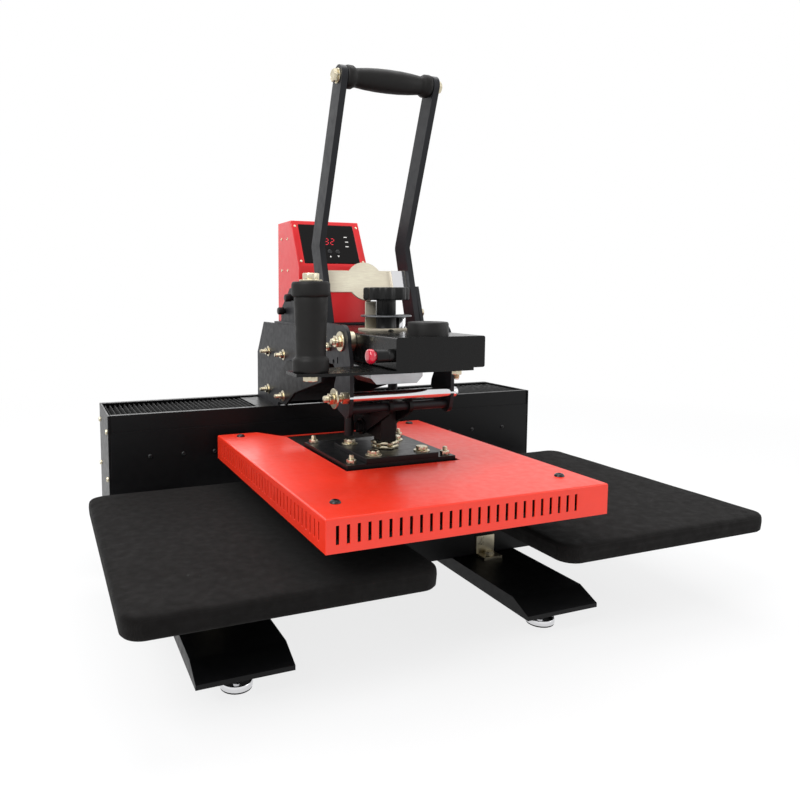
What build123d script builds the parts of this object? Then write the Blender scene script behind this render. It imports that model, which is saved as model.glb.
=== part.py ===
"""Dual station heat press, 40 by 50 cm, in millimetres, +Z up.

The press head hangs from an arm on a carriage that slides along a rear rail housing,
from one lower platen to the other. A front lever drives it down through a pair of knee links.
The origin is on the floor, in the middle of the whole press.
"""
from build123d import *
import math
import os

# Platens and their carriers
PLATEN_WIDTH = 400.0
PLATEN_DEPTH = 500.0
PLATEN_THICK = 29.0
PLATEN_TOP = 165.0
PLATEN_CENTRE_X = 297.5
PLATEN_CENTRE_Y = -101.0
PLATEN_CORNER = 28.0
COVER_HEM = 30.0
COVER_CLOTH = 1.6
PLATE_INSET = 4.0
PLATE_THICK = 14.0
SOFT_GAP = 0.3
SADDLE_WIDTH = 250.0
SADDLE_DEPTH = 330.0
SADDLE_THICK = 8.0
POST_WIDTH = 110.0
POST_DEPTH = 60.0

# Legs and levelling feet
LEG_WIDTH = 128.0
LEFT_LEG_X = -342.0
RIGHT_LEG_X = 146.0
LEG_FRONT = -291.0
LEG_BOTTOM = 35.0
LEG_TOP = 57.0
LEG_LIP = 6.5
LEG_SLOPE = 36.0
LEG_WALL = 4.0
FOOT_RADIUS = 22.0
FOOT_PAD = 2.0
FOOT_DISC = 10.0
FOOT_STEM = 6.0
FOOT_BOSS_WALL = 5.0
FOOT_TOP = 50.0
FOOT_INSET = 51.0
FOOT_REAR_INSET = 40.0
RUNNING_GAP = 0.05
BEAM_DEPTH = 60.0
BEAM_Y = -60.0
BEAM_HEIGHT = 40.0
BEAM_HALF = 440.0
BEAM_WALL = 4.0

# Rail housing
HOUSING_HALF = 457.0
HOUSING_FRONT = 192.0
HOUSING_REAR = 361.0
HOUSING_TOP = 292.7
SHEET = 2.0
END_PLATE = 4.0
SEAM_Z = 262.0
COVER_LAP = 20.0
RIM_WIDTH = 13.0
RIM_THICK = 3.0
RAIL_BEAM_SIZE = 60.0
RAIL_BEAM_Z = 140.0
RAIL_WIDTH = 20.0
RAIL_HEIGHT = 18.0
RAIL_SPACING = 36.0
RUNNER_HEIGHT = 28.0
RUNNER_LENGTH = 60.0
BELLOWS_HEIGHT = 13.0
BELLOWS_SHEET = 0.8
BELLOWS_PLEATS = 30
BELLOWS_SLOT_GAP = 1.0
COLUMN_SLOT_GAP = 5.0
END_COVER_WIDTH = 40.0
END_COVER_THICK = 2.0

# Carriage, column and arm
HEAD_X = -56.0
HEAD_Y = -101.0
COLUMN_HALF = 70.0
CHEEK = 6.0
COLUMN_REAR = 345.0
COLUMN_SHOULDER = 387.0
COLUMN_CHAMFER = 45.0
CHEEK_FRONT = 20.0
CHEEK_NOSE_Z = 400.0
ARM_FRONT = -267.0
ARM_BOTTOM = 408.0
ARM_TOP = 452.0
ARM_WALL = 5.0
ARM_PLATE = 4.0
ARM_REAR = 200.0
ARM_PLATE_REAR = -20.0
GUSSET = 5.0
GUSSET_REAR = 185.0
GUSSET_TOP = 391.0
GUSSET_BOTTOM = 300.0
GUSSET_FRONT = -30.0
BLOCK_HALF = 45.0
BLOCK_FRONT = -140.0
BLOCK_REAR = -70.0
BLOCK_HEIGHT = 32.0
POST_RADIUS = 8.0
COLUMN_BOLTS = ((268.0, 393.5), (175.0, 393.5), (270.0, 316.0), (164.0, 316.0))
COLUMN_BOLT_FLATS = 13.0
COLUMN_BOLT_HEAD = 7.0
COLUMN_BOLT_REACH = 18.0
COLUMN_BOLT_RADIUS = 4.0
GUSSET_BOLT_TOP = 358.0
CHEEK_STEP_Y = 150.0
CHEEK_STEP_Z = 360.0
CHEEK_LOW_Y = 190.0
CHEEK_LOW_Z = 300.0
POST_SPREAD = 40.0
POST_Y = -50.0
POST_END = 278.0
GRIP_X = -180.0
GRIP_Y = -237.0
GRIP_HEIGHT = 118.0
GRIP_RADIUS = 25.0
PUCK_RADIUS = 29.0
PUCK_HEIGHT = 19.0
PUCK_Y = -229.0

# Press head and ram
HEATER_WIDTH = 400.0
HEATER_DEPTH = 500.0
COVER_MARGIN = 10.0
COVER_SCREW_SIDE = 36.0
COVER_SCREW_FRONT = 56.0
COVER_SCREW_REAR = 28.0
COVER_TOP = 251.0
COVER_BOTTOM = 208.0
COVER_SHEET = 2.0
HEATER_BOTTOM = 205.0
HEATER_THICK = 16.0
WOOL_TOP = 240.0
CUTOUT_HALF = 97.0
CUTOUT_FRONT = -169.0
CUTOUT_FLARE = 40.0
CUTOUT_FLARE_DEPTH = 60.0
VENT_WIDTH = 4.3
VENT_HEIGHT = 23.0
VENT_PITCH = 14.0
VENT_DROP = 9.5
FRONT_VENTS = 26
SIDE_VENTS = 34
LOWER_PLATE_HALF = 93.0
LOWER_PLATE_FRONT = -162.0
LOWER_PLATE_REAR = 17.0
LOWER_PLATE_TOP = 257.0
UPPER_PLATE_HALF = 62.0
PLATE_STEEL = 8.0
RAM_NUT_HEIGHT = 12.0
RAM_NUT_FLATS = 39.0
RAM_SIZE = 26.0
RAM_WALL = 4.0
RAM_TOP = 338.0
BUSH_HALF = 52.0
BUSH_BOTTOM = 318.0
BUSH_TOP = 336.0
BUSH_SLOT_REAR = -41.0
EAR_REAR = -46.0
BUSH_REAR = -34.0

# Lever and knee links: pivot, knee and toe in the Y-Z plane
PIVOT_Y = -128.0
PIVOT_Z = 439.0
KNEE_Y = -145.0
KNEE_Z = 338.0
TOE_Y = -57.0
TOE_Z = 293.0
ROD_Y = -153.0
ROD_Z = 357.0
PIVOT_RADIUS = 8.0
KNEE_RADIUS = 7.0
ROD_RADIUS = 8.0
LEVER_INNER = 73.0
LEVER_THICK = 10.0
LEVER_PLATE = 6.0
LEVER_EYE = 25.0
LEVER_KNEE = 13.0
LEVER_KINK = 17.0
LEVER_END = 16.0
LEVER_FOOT = 17.0
FOOT_Y = -48.0
FOOT_Z = 462.0
KINK_Y = -8.0
KINK_Z = 588.0
AXLE_WASHER = 15.0
AXLE_FLATS = 17.0
STUD_RADIUS = 5.0
HANDLE_Y = -99.0
HANDLE_Z = 833.0
HANDLE_GRIP_RADIUS = 17.5
HANDLE_ROD_RADIUS = 6.0
LINK_INNER = 14.0
LINK_THICK = 6.0
LINK_RADIUS = 12.0
LINK_TOE = 12.0
LINK_SLACK = 0.7
BRACE_Y = -25.0
BRACE_Z = 530.0
BRACE_HEIGHT = 37.0
BRACE_DISC = 33.0
BRACE_THICK = 3.0

# Pressure knob
KNOB_RADIUS = 36.0
KNOB_BOTTOM = 500.0
KNOB_TOP = 520.0
HUB_RADIUS = 15.5
DISC_RADIUS = 40.0
DISC_THICK = 3.0
DISC_BOTTOM = 474.0
COLLAR_RADIUS = 16.0
SPINDLE_RADIUS = 8.0

# Control box
BOX_HALF = 68.5
BOX_FRONT = 109.0
BOX_REAR = 226.0
BOX_KNEE = 558.0
BOX_SLOPE_Y = 45.0
BOX_TOP = 645.0
BOX_SHEET = 2.0
CLAMP_PLACES = ((176.0, 477.0), (136.0, 502.0))
CLAMP_LENGTH = 15.0
CLAMP_RADIUS = 7.0
EAR_FRONT = 100.0
EAR_KNEE = 150.0
EAR_REACH = 200.0
EAR_TOP = 520.0
EAR_REAR_TOP = 480.0
BRACKET_BASE = 4.0
PANEL_HALF = 55.0
PANEL_LENGTH = 82.0
PANEL_THICK = 3.0
EAR_THICK = 3.0
BUTTON_RADIUS = 4.5
BUTTON_COLUMNS = (-2.0, 14.0)
BUTTON_ROW = -16.5
BUTTON_RISE = 1.2
BUTTON_GAP = 0.3
STOP_Y = -256.0
STOP_Z = 427.5
STOP_RADIUS = 9.0
STOP_LENGTH = 26.0
STOP_TRAVEL = 3.0

# Worked out from the values above
LEFT_X = -PLATEN_CENTRE_X
PLATEN_BOTTOM = PLATEN_TOP - PLATEN_THICK
PLATE_BOTTOM = PLATEN_BOTTOM + COVER_CLOTH + SOFT_GAP
HEATER_TOP = HEATER_BOTTOM + HEATER_THICK
UPPER_PLATE_TOP = LOWER_PLATE_TOP + PLATE_STEEL
NUT_TOP = UPPER_PLATE_TOP + RAM_NUT_HEIGHT
BOX_BOTTOM = ARM_TOP + BRACKET_BASE
KNOB_BASE = DISC_BOTTOM + DISC_THICK
COVER_WIDTH = HEATER_WIDTH + 2 * COVER_MARGIN
COVER_DEPTH = HEATER_DEPTH + 2 * COVER_MARGIN
COVER_FRONT = HEAD_Y - COVER_DEPTH / 2
COVER_REAR = HEAD_Y + COVER_DEPTH / 2
HOUSING_INNER_FRONT = HOUSING_FRONT + SHEET
HOUSING_INNER_REAR = HOUSING_REAR - SHEET
RIM_FRONT = HOUSING_FRONT + RIM_WIDTH
RIM_REAR = HOUSING_REAR - RIM_WIDTH
HOUSING_MID_Y = (HOUSING_FRONT + HOUSING_REAR) / 2
RAIL_TOP = RAIL_BEAM_Z + RAIL_BEAM_SIZE + RAIL_HEIGHT
RUNNER_BOTTOM = RAIL_TOP - 12.0
SADDLE_Z = RUNNER_BOTTOM + RUNNER_HEIGHT
SADDLE_TOP = SADDLE_Z + 12.0
LEG_X = {"left": LEFT_LEG_X, "right": RIGHT_LEG_X}
PLATEN_X = {"left": -PLATEN_CENTRE_X, "right": PLATEN_CENTRE_X}


def block(x0, x1, y0, y1, z0, z1):
    """A box between two corners."""
    size = Box(x1 - x0, y1 - y0, z1 - z0)
    return Pos((x0 + x1) / 2, (y0 + y1) / 2, (z0 + z1) / 2) * size


def rod_x(x0, x1, y, z, radius):
    """A round bar along X."""
    return Pos((x0 + x1) / 2, y, z) * Rot(0, 90, 0) * Cylinder(radius, x1 - x0)


def rod_z(x, y, z0, z1, radius):
    """A round bar along Z."""
    return Pos(x, y, (z0 + z1) / 2) * Cylinder(radius, z1 - z0)


def hex_z(x, y, z0, z1, flats):
    """A hexagonal bar along Z."""
    shape = RegularPolygon(flats / 2, 6, major_radius=False)
    return Pos(x, y, z0) * extrude(shape, z1 - z0)


def hex_x(x0, x1, y, z, flats):
    """A hexagonal bar along X."""
    shape = RegularPolygon(flats / 2, 6, major_radius=False)
    return Pos(x0, y, z) * Rot(0, 90, 0) * extrude(shape, x1 - x0)


def plate_x(points, x0, x1):
    """A flat plate with an outline in Y and Z, between two X values."""
    outline = make_face(Polyline(*[(y, z) for y, z in points], close=True))
    plane = Plane(origin=(x0, 0, 0), x_dir=(0, 1, 0), z_dir=(1, 0, 0))
    return extrude(plane * outline, x1 - x0)


def bar_x(start, start_radius, end, end_radius, x0, x1):
    """A flat tapering bar with round ends, from one Y-Z point to another."""
    course = math.atan2(end[1] - start[1], end[0] - start[0])
    spread = math.acos((start_radius - end_radius) / math.hypot(end[0] - start[0], end[1] - start[1]))
    corners = []
    for point, radius, turn in ((start, start_radius, course + spread), (end, end_radius, course + spread),
                                (end, end_radius, course - spread), (start, start_radius, course - spread)):
        corners.append((point[0] + radius * math.cos(turn), point[1] + radius * math.sin(turn)))
    ends = rod_x(x0, x1, start[0], start[1], start_radius) + rod_x(x0, x1, end[0], end[1], end_radius)
    return plate_x(corners, x0, x1) + ends


def span(side, inner, thick):
    """The two X values of a layer that starts at a distance from the head's middle, lower one first."""
    near = HEAD_X + side * inner
    far = near + side * thick
    return min(near, far), max(near, far)


def leg(side):
    """A folded steel leg with a sloping front tip, open underneath."""
    x0 = LEG_X[side] - LEG_WIDTH / 2
    x1 = LEG_X[side] + LEG_WIDTH / 2
    outline = [(LEG_FRONT, LEG_BOTTOM), (LEG_FRONT, LEG_BOTTOM + LEG_LIP), (LEG_FRONT + LEG_SLOPE, LEG_TOP)]
    outline += [(HOUSING_REAR, LEG_TOP), (HOUSING_REAR, LEG_BOTTOM)]
    body = plate_x(outline, x0, x1)
    hollow = [(LEG_FRONT + LEG_SLOPE, LEG_BOTTOM - 1), (LEG_FRONT + LEG_SLOPE + LEG_WALL, LEG_TOP - LEG_WALL)]
    hollow += [(HOUSING_REAR - LEG_WALL, LEG_TOP - LEG_WALL), (HOUSING_REAR - LEG_WALL, LEG_BOTTOM - 1)]
    body -= plate_x(hollow, x0 + LEG_WALL, x1 - LEG_WALL)
    for y in foot_places():
        body += rod_z(LEG_X[side], y, LEG_BOTTOM + 2, LEG_TOP - LEG_WALL, FOOT_STEM + FOOT_BOSS_WALL)
        body -= rod_z(LEG_X[side], y, LEG_BOTTOM, FOOT_TOP + 1, FOOT_STEM + RUNNING_GAP)
    return body


def foot_places():
    """Where the two feet of a leg stand, front and rear."""
    return [LEG_FRONT + FOOT_INSET, HOUSING_REAR - FOOT_REAR_INSET]


def foot(side, end):
    """A levelling foot: rubber pad, chromed disc, lock nut and threaded stem, all turning together."""
    x = LEG_X[side]
    y = foot_places()[0 if end == "front" else 1]
    body = rod_z(x, y, 0, FOOT_PAD, FOOT_RADIUS - 1)
    body += rod_z(x, y, FOOT_PAD, FOOT_PAD + FOOT_DISC, FOOT_RADIUS)
    body += rod_z(x, y, FOOT_PAD + FOOT_DISC, FOOT_TOP, FOOT_STEM)
    body += hex_z(x, y, FOOT_PAD + FOOT_DISC, FOOT_PAD + FOOT_DISC + 9, 19)
    return body


def cross_beam():
    """The square tube across both legs that carries the two platens, closed at its ends."""
    y0 = BEAM_Y - BEAM_DEPTH / 2
    y1 = BEAM_Y + BEAM_DEPTH / 2
    tube = block(-BEAM_HALF, BEAM_HALF, y0, y1, LEG_TOP, LEG_TOP + BEAM_HEIGHT)
    inner = block(-BEAM_HALF + BEAM_WALL, BEAM_HALF - BEAM_WALL, y0 + BEAM_WALL, y1 - BEAM_WALL,
                  LEG_TOP + BEAM_WALL, LEG_TOP + BEAM_HEIGHT - BEAM_WALL)
    return tube - inner


def beam_brackets():
    """Zinc angles that bolt the cross beam to each leg."""
    pieces = []
    for x in LEG_X.values():
        y1 = BEAM_Y - BEAM_DEPTH / 2
        flat = block(x - 18, x + 18, y1 - 28, y1, LEG_TOP, LEG_TOP + 4)
        wall = block(x - 18, x + 18, y1 - 4, y1, LEG_TOP, LEG_TOP + 34)
        pieces.append(flat + wall + hex_z(x, y1 - 16, LEG_TOP + 4, LEG_TOP + 10, 13))
    return pieces


def platen_saddles():
    """Under each platen: a post on the cross beam and the wide plate that holds the platen."""
    pieces = []
    for x in PLATEN_X.values():
        post = block(x - POST_WIDTH / 2, x + POST_WIDTH / 2, BEAM_Y - POST_DEPTH / 2, BEAM_Y + POST_DEPTH / 2,
                     LEG_TOP + BEAM_HEIGHT, PLATE_BOTTOM - SADDLE_THICK)
        plate = block(x - SADDLE_WIDTH / 2, x + SADDLE_WIDTH / 2, PLATEN_CENTRE_Y - SADDLE_DEPTH / 2,
                      PLATEN_CENTRE_Y + SADDLE_DEPTH / 2, PLATE_BOTTOM - SADDLE_THICK, PLATE_BOTTOM)
        pieces.append(post + plate)
    return pieces


def platen_plates():
    """The aluminium plates inside the two lower platens."""
    inset = COVER_CLOTH + SOFT_GAP + PLATE_INSET
    face = RectangleRounded(PLATEN_WIDTH - 2 * inset, PLATEN_DEPTH - 2 * inset, PLATEN_CORNER - inset)
    return [Pos(x, PLATEN_CENTRE_Y, PLATE_BOTTOM) * extrude(face, PLATE_THICK) for x in PLATEN_X.values()]


def platen_cover(side):
    """The silicone foam and its fabric slip cover, hemmed under the plate."""
    inset = COVER_CLOTH + PLATE_INSET
    centre = Pos(PLATEN_X[side], PLATEN_CENTRE_Y, PLATEN_BOTTOM)
    outer = extrude(RectangleRounded(PLATEN_WIDTH, PLATEN_DEPTH, PLATEN_CORNER), PLATEN_THICK)
    outer = fillet(outer.edges().group_by(Axis.Z)[-1], 4.0)
    outer = fillet(outer.edges().group_by(Axis.Z)[0], 3.0)
    room = RectangleRounded(PLATEN_WIDTH - 2 * inset, PLATEN_DEPTH - 2 * inset, PLATEN_CORNER - inset)
    cavity = Pos(0, 0, COVER_CLOTH) * extrude(room, PLATE_THICK + 2 * SOFT_GAP)
    mouth_width = PLATEN_WIDTH - 2 * inset - 2 * COVER_HEM
    mouth_depth = PLATEN_DEPTH - 2 * inset - 2 * COVER_HEM
    mouth = Pos(0, 0, -1) * extrude(RectangleRounded(mouth_width, mouth_depth, 12), COVER_CLOTH + 2)
    return centre * (outer - cavity - mouth)


def housing_front_panel():
    """The lower front sheet of the rail housing, standing one sheet proud of the upper one."""
    half = HOUSING_HALF - END_PLATE
    return block(-half, half, HOUSING_FRONT, HOUSING_INNER_FRONT, LEG_TOP, SEAM_Z)


def housing_front_cover():
    """The upper front sheet, lapped behind the lower one and folded to a rim along the slot."""
    half = HOUSING_HALF - END_PLATE
    wall = block(-half, half, HOUSING_INNER_FRONT, HOUSING_INNER_FRONT + SHEET, SEAM_Z - COVER_LAP, HOUSING_TOP)
    rim = block(-half, half, HOUSING_INNER_FRONT, RIM_FRONT, HOUSING_TOP - RIM_THICK, HOUSING_TOP)
    return wall + rim


def housing_rear_panel():
    """The rear sheet of the rail housing, folded to a rim along the slot."""
    half = HOUSING_HALF - END_PLATE
    wall = block(-half, half, HOUSING_INNER_REAR, HOUSING_REAR, LEG_TOP, HOUSING_TOP)
    rim = block(-half, half, RIM_REAR, HOUSING_REAR, HOUSING_TOP - RIM_THICK, HOUSING_TOP)
    return wall + rim


def end_plates():
    """The two end plates of the rail housing."""
    return [block(side * HOUSING_HALF - (END_PLATE if side > 0 else 0),
                  side * HOUSING_HALF + (END_PLATE if side < 0 else 0),
                  HOUSING_FRONT, HOUSING_REAR, LEG_TOP, HOUSING_TOP) for side in (-1, 1)]


def housing_screws():
    """Button head screws on the front panel and cap screws on the end plates."""
    pieces = []
    for x in (-384, -323, -264, 251, 308, 387):
        pieces.append(Pos(x, HOUSING_FRONT - 1.2, 214.5) * Rot(90, 0, 0) * Cylinder(4.0, 2.4))
    for side in (-1, 1):
        for z in (95.0, 175.0, 262.0):
            for y in (HOUSING_FRONT + 14, HOUSING_REAR - 14):
                x = side * HOUSING_HALF
                pieces.append(rod_x(min(x, x + side * 3.5), max(x, x + side * 3.5), y, z, 4.5))
    return pieces


def rail_beam():
    """The square tube inside the housing that carries the rails, held by the end plates."""
    half = HOUSING_HALF - END_PLATE
    y0 = HOUSING_MID_Y - RAIL_BEAM_SIZE / 2
    y1 = HOUSING_MID_Y + RAIL_BEAM_SIZE / 2
    tube = block(-half, half, y0, y1, RAIL_BEAM_Z, RAIL_BEAM_Z + RAIL_BEAM_SIZE)
    inner = block(-half - 1, half + 1, y0 + 4, y1 - 4, RAIL_BEAM_Z + 4, RAIL_BEAM_Z + RAIL_BEAM_SIZE - 4)
    return tube - inner


def guide_rails():
    """Two profile rails on the beam."""
    half = HOUSING_HALF - END_PLATE - 5
    pieces = []
    for side in (-1, 1):
        y = HOUSING_MID_Y + side * RAIL_SPACING / 2
        z0 = RAIL_BEAM_Z + RAIL_BEAM_SIZE
        rail = block(-half, half, y - RAIL_WIDTH / 2 + 4, y + RAIL_WIDTH / 2 - 4, z0, RAIL_TOP)
        pieces.append(rail)
    return pieces


def bellows(side):
    """A pleated sheet that covers the slot between an end plate and the carriage."""
    wall = HOUSING_HALF - END_PLATE - SOFT_GAP
    carriage = COLUMN_HALF + CHEEK + END_COVER_WIDTH + SOFT_GAP
    if side == "left":
        x0 = -wall
        x1 = HEAD_X - carriage
    else:
        x0 = HEAD_X + carriage
        x1 = wall
    y0 = RIM_FRONT + BELLOWS_SLOT_GAP
    y1 = RIM_REAR - BELLOWS_SLOT_GAP
    top = HOUSING_TOP - RIM_THICK
    low = top - BELLOWS_HEIGHT
    step = (x1 - x0) / BELLOWS_PLEATS
    upper = [(x0 + step * i / 2, top if i % 2 else low) for i in range(2 * BELLOWS_PLEATS + 1)]
    lower = [(x, z - BELLOWS_SHEET * 2) for x, z in reversed(upper)]
    face = make_face(Polyline(*(upper + lower), close=True))
    plane = Plane(origin=(0, y1, 0), x_dir=(1, 0, 0), z_dir=(0, -1, 0))
    return extrude(plane * face, y1 - y0)


def carriage_saddle():
    """The plate that joins the runner blocks to the column, and the flat covers the bellows end on."""
    half = COLUMN_HALF + CHEEK
    y0 = RIM_FRONT + COLUMN_SLOT_GAP
    plate = block(HEAD_X - half, HEAD_X + half, y0, COLUMN_REAR, SADDLE_Z, SADDLE_TOP)
    top = HOUSING_TOP - RIM_THICK
    pieces = [plate]
    for side in (-1, 1):
        x0, x1 = span(side, half, END_COVER_WIDTH)
        pieces.append(block(x0, x1, y0, COLUMN_REAR - 2, top - END_COVER_THICK, top))
    return pieces


def runner_blocks():
    """Four runner blocks, grooved over the rails."""
    pieces = []
    for x in (HEAD_X - 42, HEAD_X + 42):
        for side in (-1, 1):
            y = HOUSING_MID_Y + side * RAIL_SPACING / 2
            shape = block(x - RUNNER_LENGTH / 2, x + RUNNER_LENGTH / 2, y - 16, y + 16, RUNNER_BOTTOM, SADDLE_Z)
            groove = block(x - RUNNER_LENGTH, x + RUNNER_LENGTH, y - RAIL_WIDTH / 2 + 4 - RUNNING_GAP,
                           y + RAIL_WIDTH / 2 - 4 + RUNNING_GAP, RUNNER_BOTTOM - 1, RAIL_TOP + RUNNING_GAP)
            pieces.append(shape - groove)
    return pieces


def column_cheeks():
    """The two side plates of the column, with a nose forward along the arm, and the folded sheet between them."""
    front = RIM_FRONT + COLUMN_SLOT_GAP
    outline = [(COLUMN_REAR, SADDLE_TOP), (COLUMN_REAR, COLUMN_SHOULDER), (COLUMN_REAR - COLUMN_CHAMFER, ARM_TOP)]
    outline += [(CHEEK_FRONT, ARM_TOP), (CHEEK_FRONT, CHEEK_NOSE_Z)]
    outline += [(CHEEK_STEP_Y, CHEEK_STEP_Z), (CHEEK_LOW_Y, CHEEK_LOW_Z)]
    outline += [(front, HOUSING_TOP + 4), (front, SADDLE_TOP)]
    plates = [plate_x(outline, *span(side, COLUMN_HALF, CHEEK)) for side in (-1, 1)]
    web = [(CHEEK_LOW_Y, CHEEK_LOW_Z), (CHEEK_STEP_Y, CHEEK_STEP_Z), (CHEEK_FRONT, CHEEK_NOSE_Z)]
    web += [(CHEEK_FRONT, CHEEK_NOSE_Z + 3), (CHEEK_STEP_Y + 2, CHEEK_STEP_Z + 3), (CHEEK_LOW_Y + 3, CHEEK_LOW_Z + 2)]
    plates.append(plate_x(web, HEAD_X - COLUMN_HALF, HEAD_X + COLUMN_HALF))
    return plates


def arm_gussets():
    """The two black plates that brace the column and reach forward under the arm."""
    outline = [(GUSSET_REAR, GUSSET_BOTTOM), (GUSSET_REAR, 358), (142, GUSSET_TOP - 6), (GUSSET_FRONT, GUSSET_TOP)]
    outline += [(GUSSET_FRONT, GUSSET_TOP - 26), (100, 330), (150, GUSSET_BOTTOM)]
    return [plate_x(outline, *span(side, COLUMN_HALF + CHEEK, GUSSET)) for side in (-1, 1)]


def arm():
    """The black box section arm, closed at both ends, bored for the lever's axle."""
    tube = block(HEAD_X - COLUMN_HALF, HEAD_X + COLUMN_HALF, ARM_FRONT, ARM_REAR, ARM_BOTTOM, ARM_TOP)
    tube = fillet(tube.edges().filter_by(Axis.Y), 3.0)
    inner = block(HEAD_X - COLUMN_HALF + ARM_WALL, HEAD_X + COLUMN_HALF - ARM_WALL, ARM_FRONT + ARM_WALL,
                  ARM_REAR - ARM_WALL, ARM_BOTTOM + ARM_WALL, ARM_TOP - ARM_WALL)
    half = COLUMN_HALF + 1
    return tube - inner - rod_x(HEAD_X - half, HEAD_X + half, PIVOT_Y, PIVOT_Z, PIVOT_RADIUS + 0.1)


def arm_plate():
    """The plate under the arm, with a wing for the side grip and a slot for the lever."""
    z0 = ARM_BOTTOM - ARM_PLATE
    main = block(HEAD_X - COLUMN_HALF, HEAD_X + 52, ARM_FRONT, ARM_PLATE_REAR, z0, ARM_BOTTOM)
    wing = [(HEAD_X - COLUMN_HALF + 1, ARM_FRONT), (HEAD_X + GRIP_X + 10, ARM_FRONT + 3)]
    wing += [(HEAD_X + GRIP_X - 26, ARM_FRONT + 14), (HEAD_X + GRIP_X - 26, GRIP_Y + 24)]
    wing += [(HEAD_X + GRIP_X + 30, -200), (HEAD_X - COLUMN_HALF + 1, -184)]
    face = make_face(Polyline(*wing, close=True))
    return main + Pos(0, 0, z0) * extrude(face, ARM_PLATE)


def axle():
    """The lever's axle through the arm, with collars, washers, nuts and threaded ends."""
    end = LEVER_INNER + LEVER_THICK + LEVER_PLATE
    shaft = rod_x(HEAD_X - end, HEAD_X + end, PIVOT_Y, PIVOT_Z, PIVOT_RADIUS)
    shaft += rod_x(HEAD_X - end - 17, HEAD_X + end + 17, PIVOT_Y, PIVOT_Z, STUD_RADIUS)
    for side in (-1, 1):
        shaft += rod_x(*span(side, COLUMN_HALF + SOFT_GAP, end - LEVER_PLATE - COLUMN_HALF - 2 * SOFT_GAP),
                       PIVOT_Y, PIVOT_Z, AXLE_WASHER)
        shaft += rod_x(*span(side, end + SOFT_GAP, 2.5), PIVOT_Y, PIVOT_Z, AXLE_WASHER)
        shaft += hex_x(*span(side, end + SOFT_GAP + 2.5, 8), PIVOT_Y, PIVOT_Z, AXLE_FLATS)
    return shaft


def guide_posts():
    """Two chromed posts under the arm that guide the ram."""
    return [rod_z(HEAD_X + side * POST_SPREAD, POST_Y, POST_END, ARM_BOTTOM - ARM_PLATE, POST_RADIUS)
            for side in (-1, 1)]


def spindle_block():
    """The aluminium block under the arm that guides the pressure spindle."""
    z1 = ARM_BOTTOM - ARM_PLATE
    body = block(HEAD_X - BLOCK_HALF, HEAD_X + BLOCK_HALF, BLOCK_FRONT, BLOCK_REAR, z1 - BLOCK_HEIGHT, z1)
    return chamfer(body.edges().filter_by(Axis.Y).group_by(Axis.Z)[0], 10.0)


def side_grip():
    """The rubber grip at the left for pushing the carriage along, turned with two collars."""
    x = HEAD_X + GRIP_X
    r = GRIP_RADIUS
    z0 = ARM_BOTTOM
    z1 = z0 + GRIP_HEIGHT
    points = [(0, z0), (r - 2, z0), (r - 1, z0 + 4), (r - 1, z0 + 17), (r - 5, z0 + 21), (r - 4.5, z0 + 50)]
    points += [(r - 3, z1 - 24), (r - 3, z1 - 21), (r + 0.5, z1 - 19), (r + 0.5, z1 - 3), (r - 1, z1), (0, z1)]
    face = make_face(Plane.XZ * Polyline(*points, close=True))
    return Pos(x, GRIP_Y, 0) * revolve(face, Axis.Z)


def arm_puck():
    """The round black puck on the front of the arm."""
    body = rod_z(HEAD_X, PUCK_Y, ARM_TOP, ARM_TOP + PUCK_HEIGHT, PUCK_RADIUS)
    return chamfer(body.edges().group_by(Axis.Z)[-1], 1.5)


def pressure_dial():
    """The collar, thin disc and spindle under the pressure knob, with a pin and a flat bracket beside them."""
    body = rod_z(HEAD_X, HEAD_Y, ARM_TOP, DISC_BOTTOM, COLLAR_RADIUS)
    body += rod_z(HEAD_X, HEAD_Y, DISC_BOTTOM, KNOB_BASE, DISC_RADIUS)
    body += rod_z(HEAD_X, HEAD_Y, KNOB_BASE, KNOB_TOP - 5, SPINDLE_RADIUS)
    body += rod_z(HEAD_X + 26, HEAD_Y, ARM_TOP, DISC_BOTTOM, 8)
    body += block(HEAD_X - 26, HEAD_X - 8, HEAD_Y + 19, HEAD_Y + 22, ARM_TOP, KNOB_BOTTOM - 2)
    return body + block(HEAD_X - 38, HEAD_X + 30, HEAD_Y - 17, HEAD_Y + 22, ARM_TOP, ARM_TOP + 4)


def pressure_knob():
    """The star knob on its hub, bored for the spindle."""
    hub = rod_z(HEAD_X, HEAD_Y, KNOB_BASE + SOFT_GAP, KNOB_BOTTOM, HUB_RADIUS)
    head = rod_z(HEAD_X, HEAD_Y, KNOB_BOTTOM, KNOB_TOP, KNOB_RADIUS)
    for i in range(8):
        turn = math.radians(45 * i)
        x = HEAD_X + (KNOB_RADIUS + 5) * math.cos(turn)
        y = HEAD_Y + (KNOB_RADIUS + 5) * math.sin(turn)
        head -= rod_z(x, y, KNOB_BOTTOM - 1, KNOB_TOP + 1, 9.5)
    bore = rod_z(HEAD_X, HEAD_Y, KNOB_BASE, KNOB_TOP - 5 + SOFT_GAP, SPINDLE_RADIUS + RUNNING_GAP)
    return hub + head - bore


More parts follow.
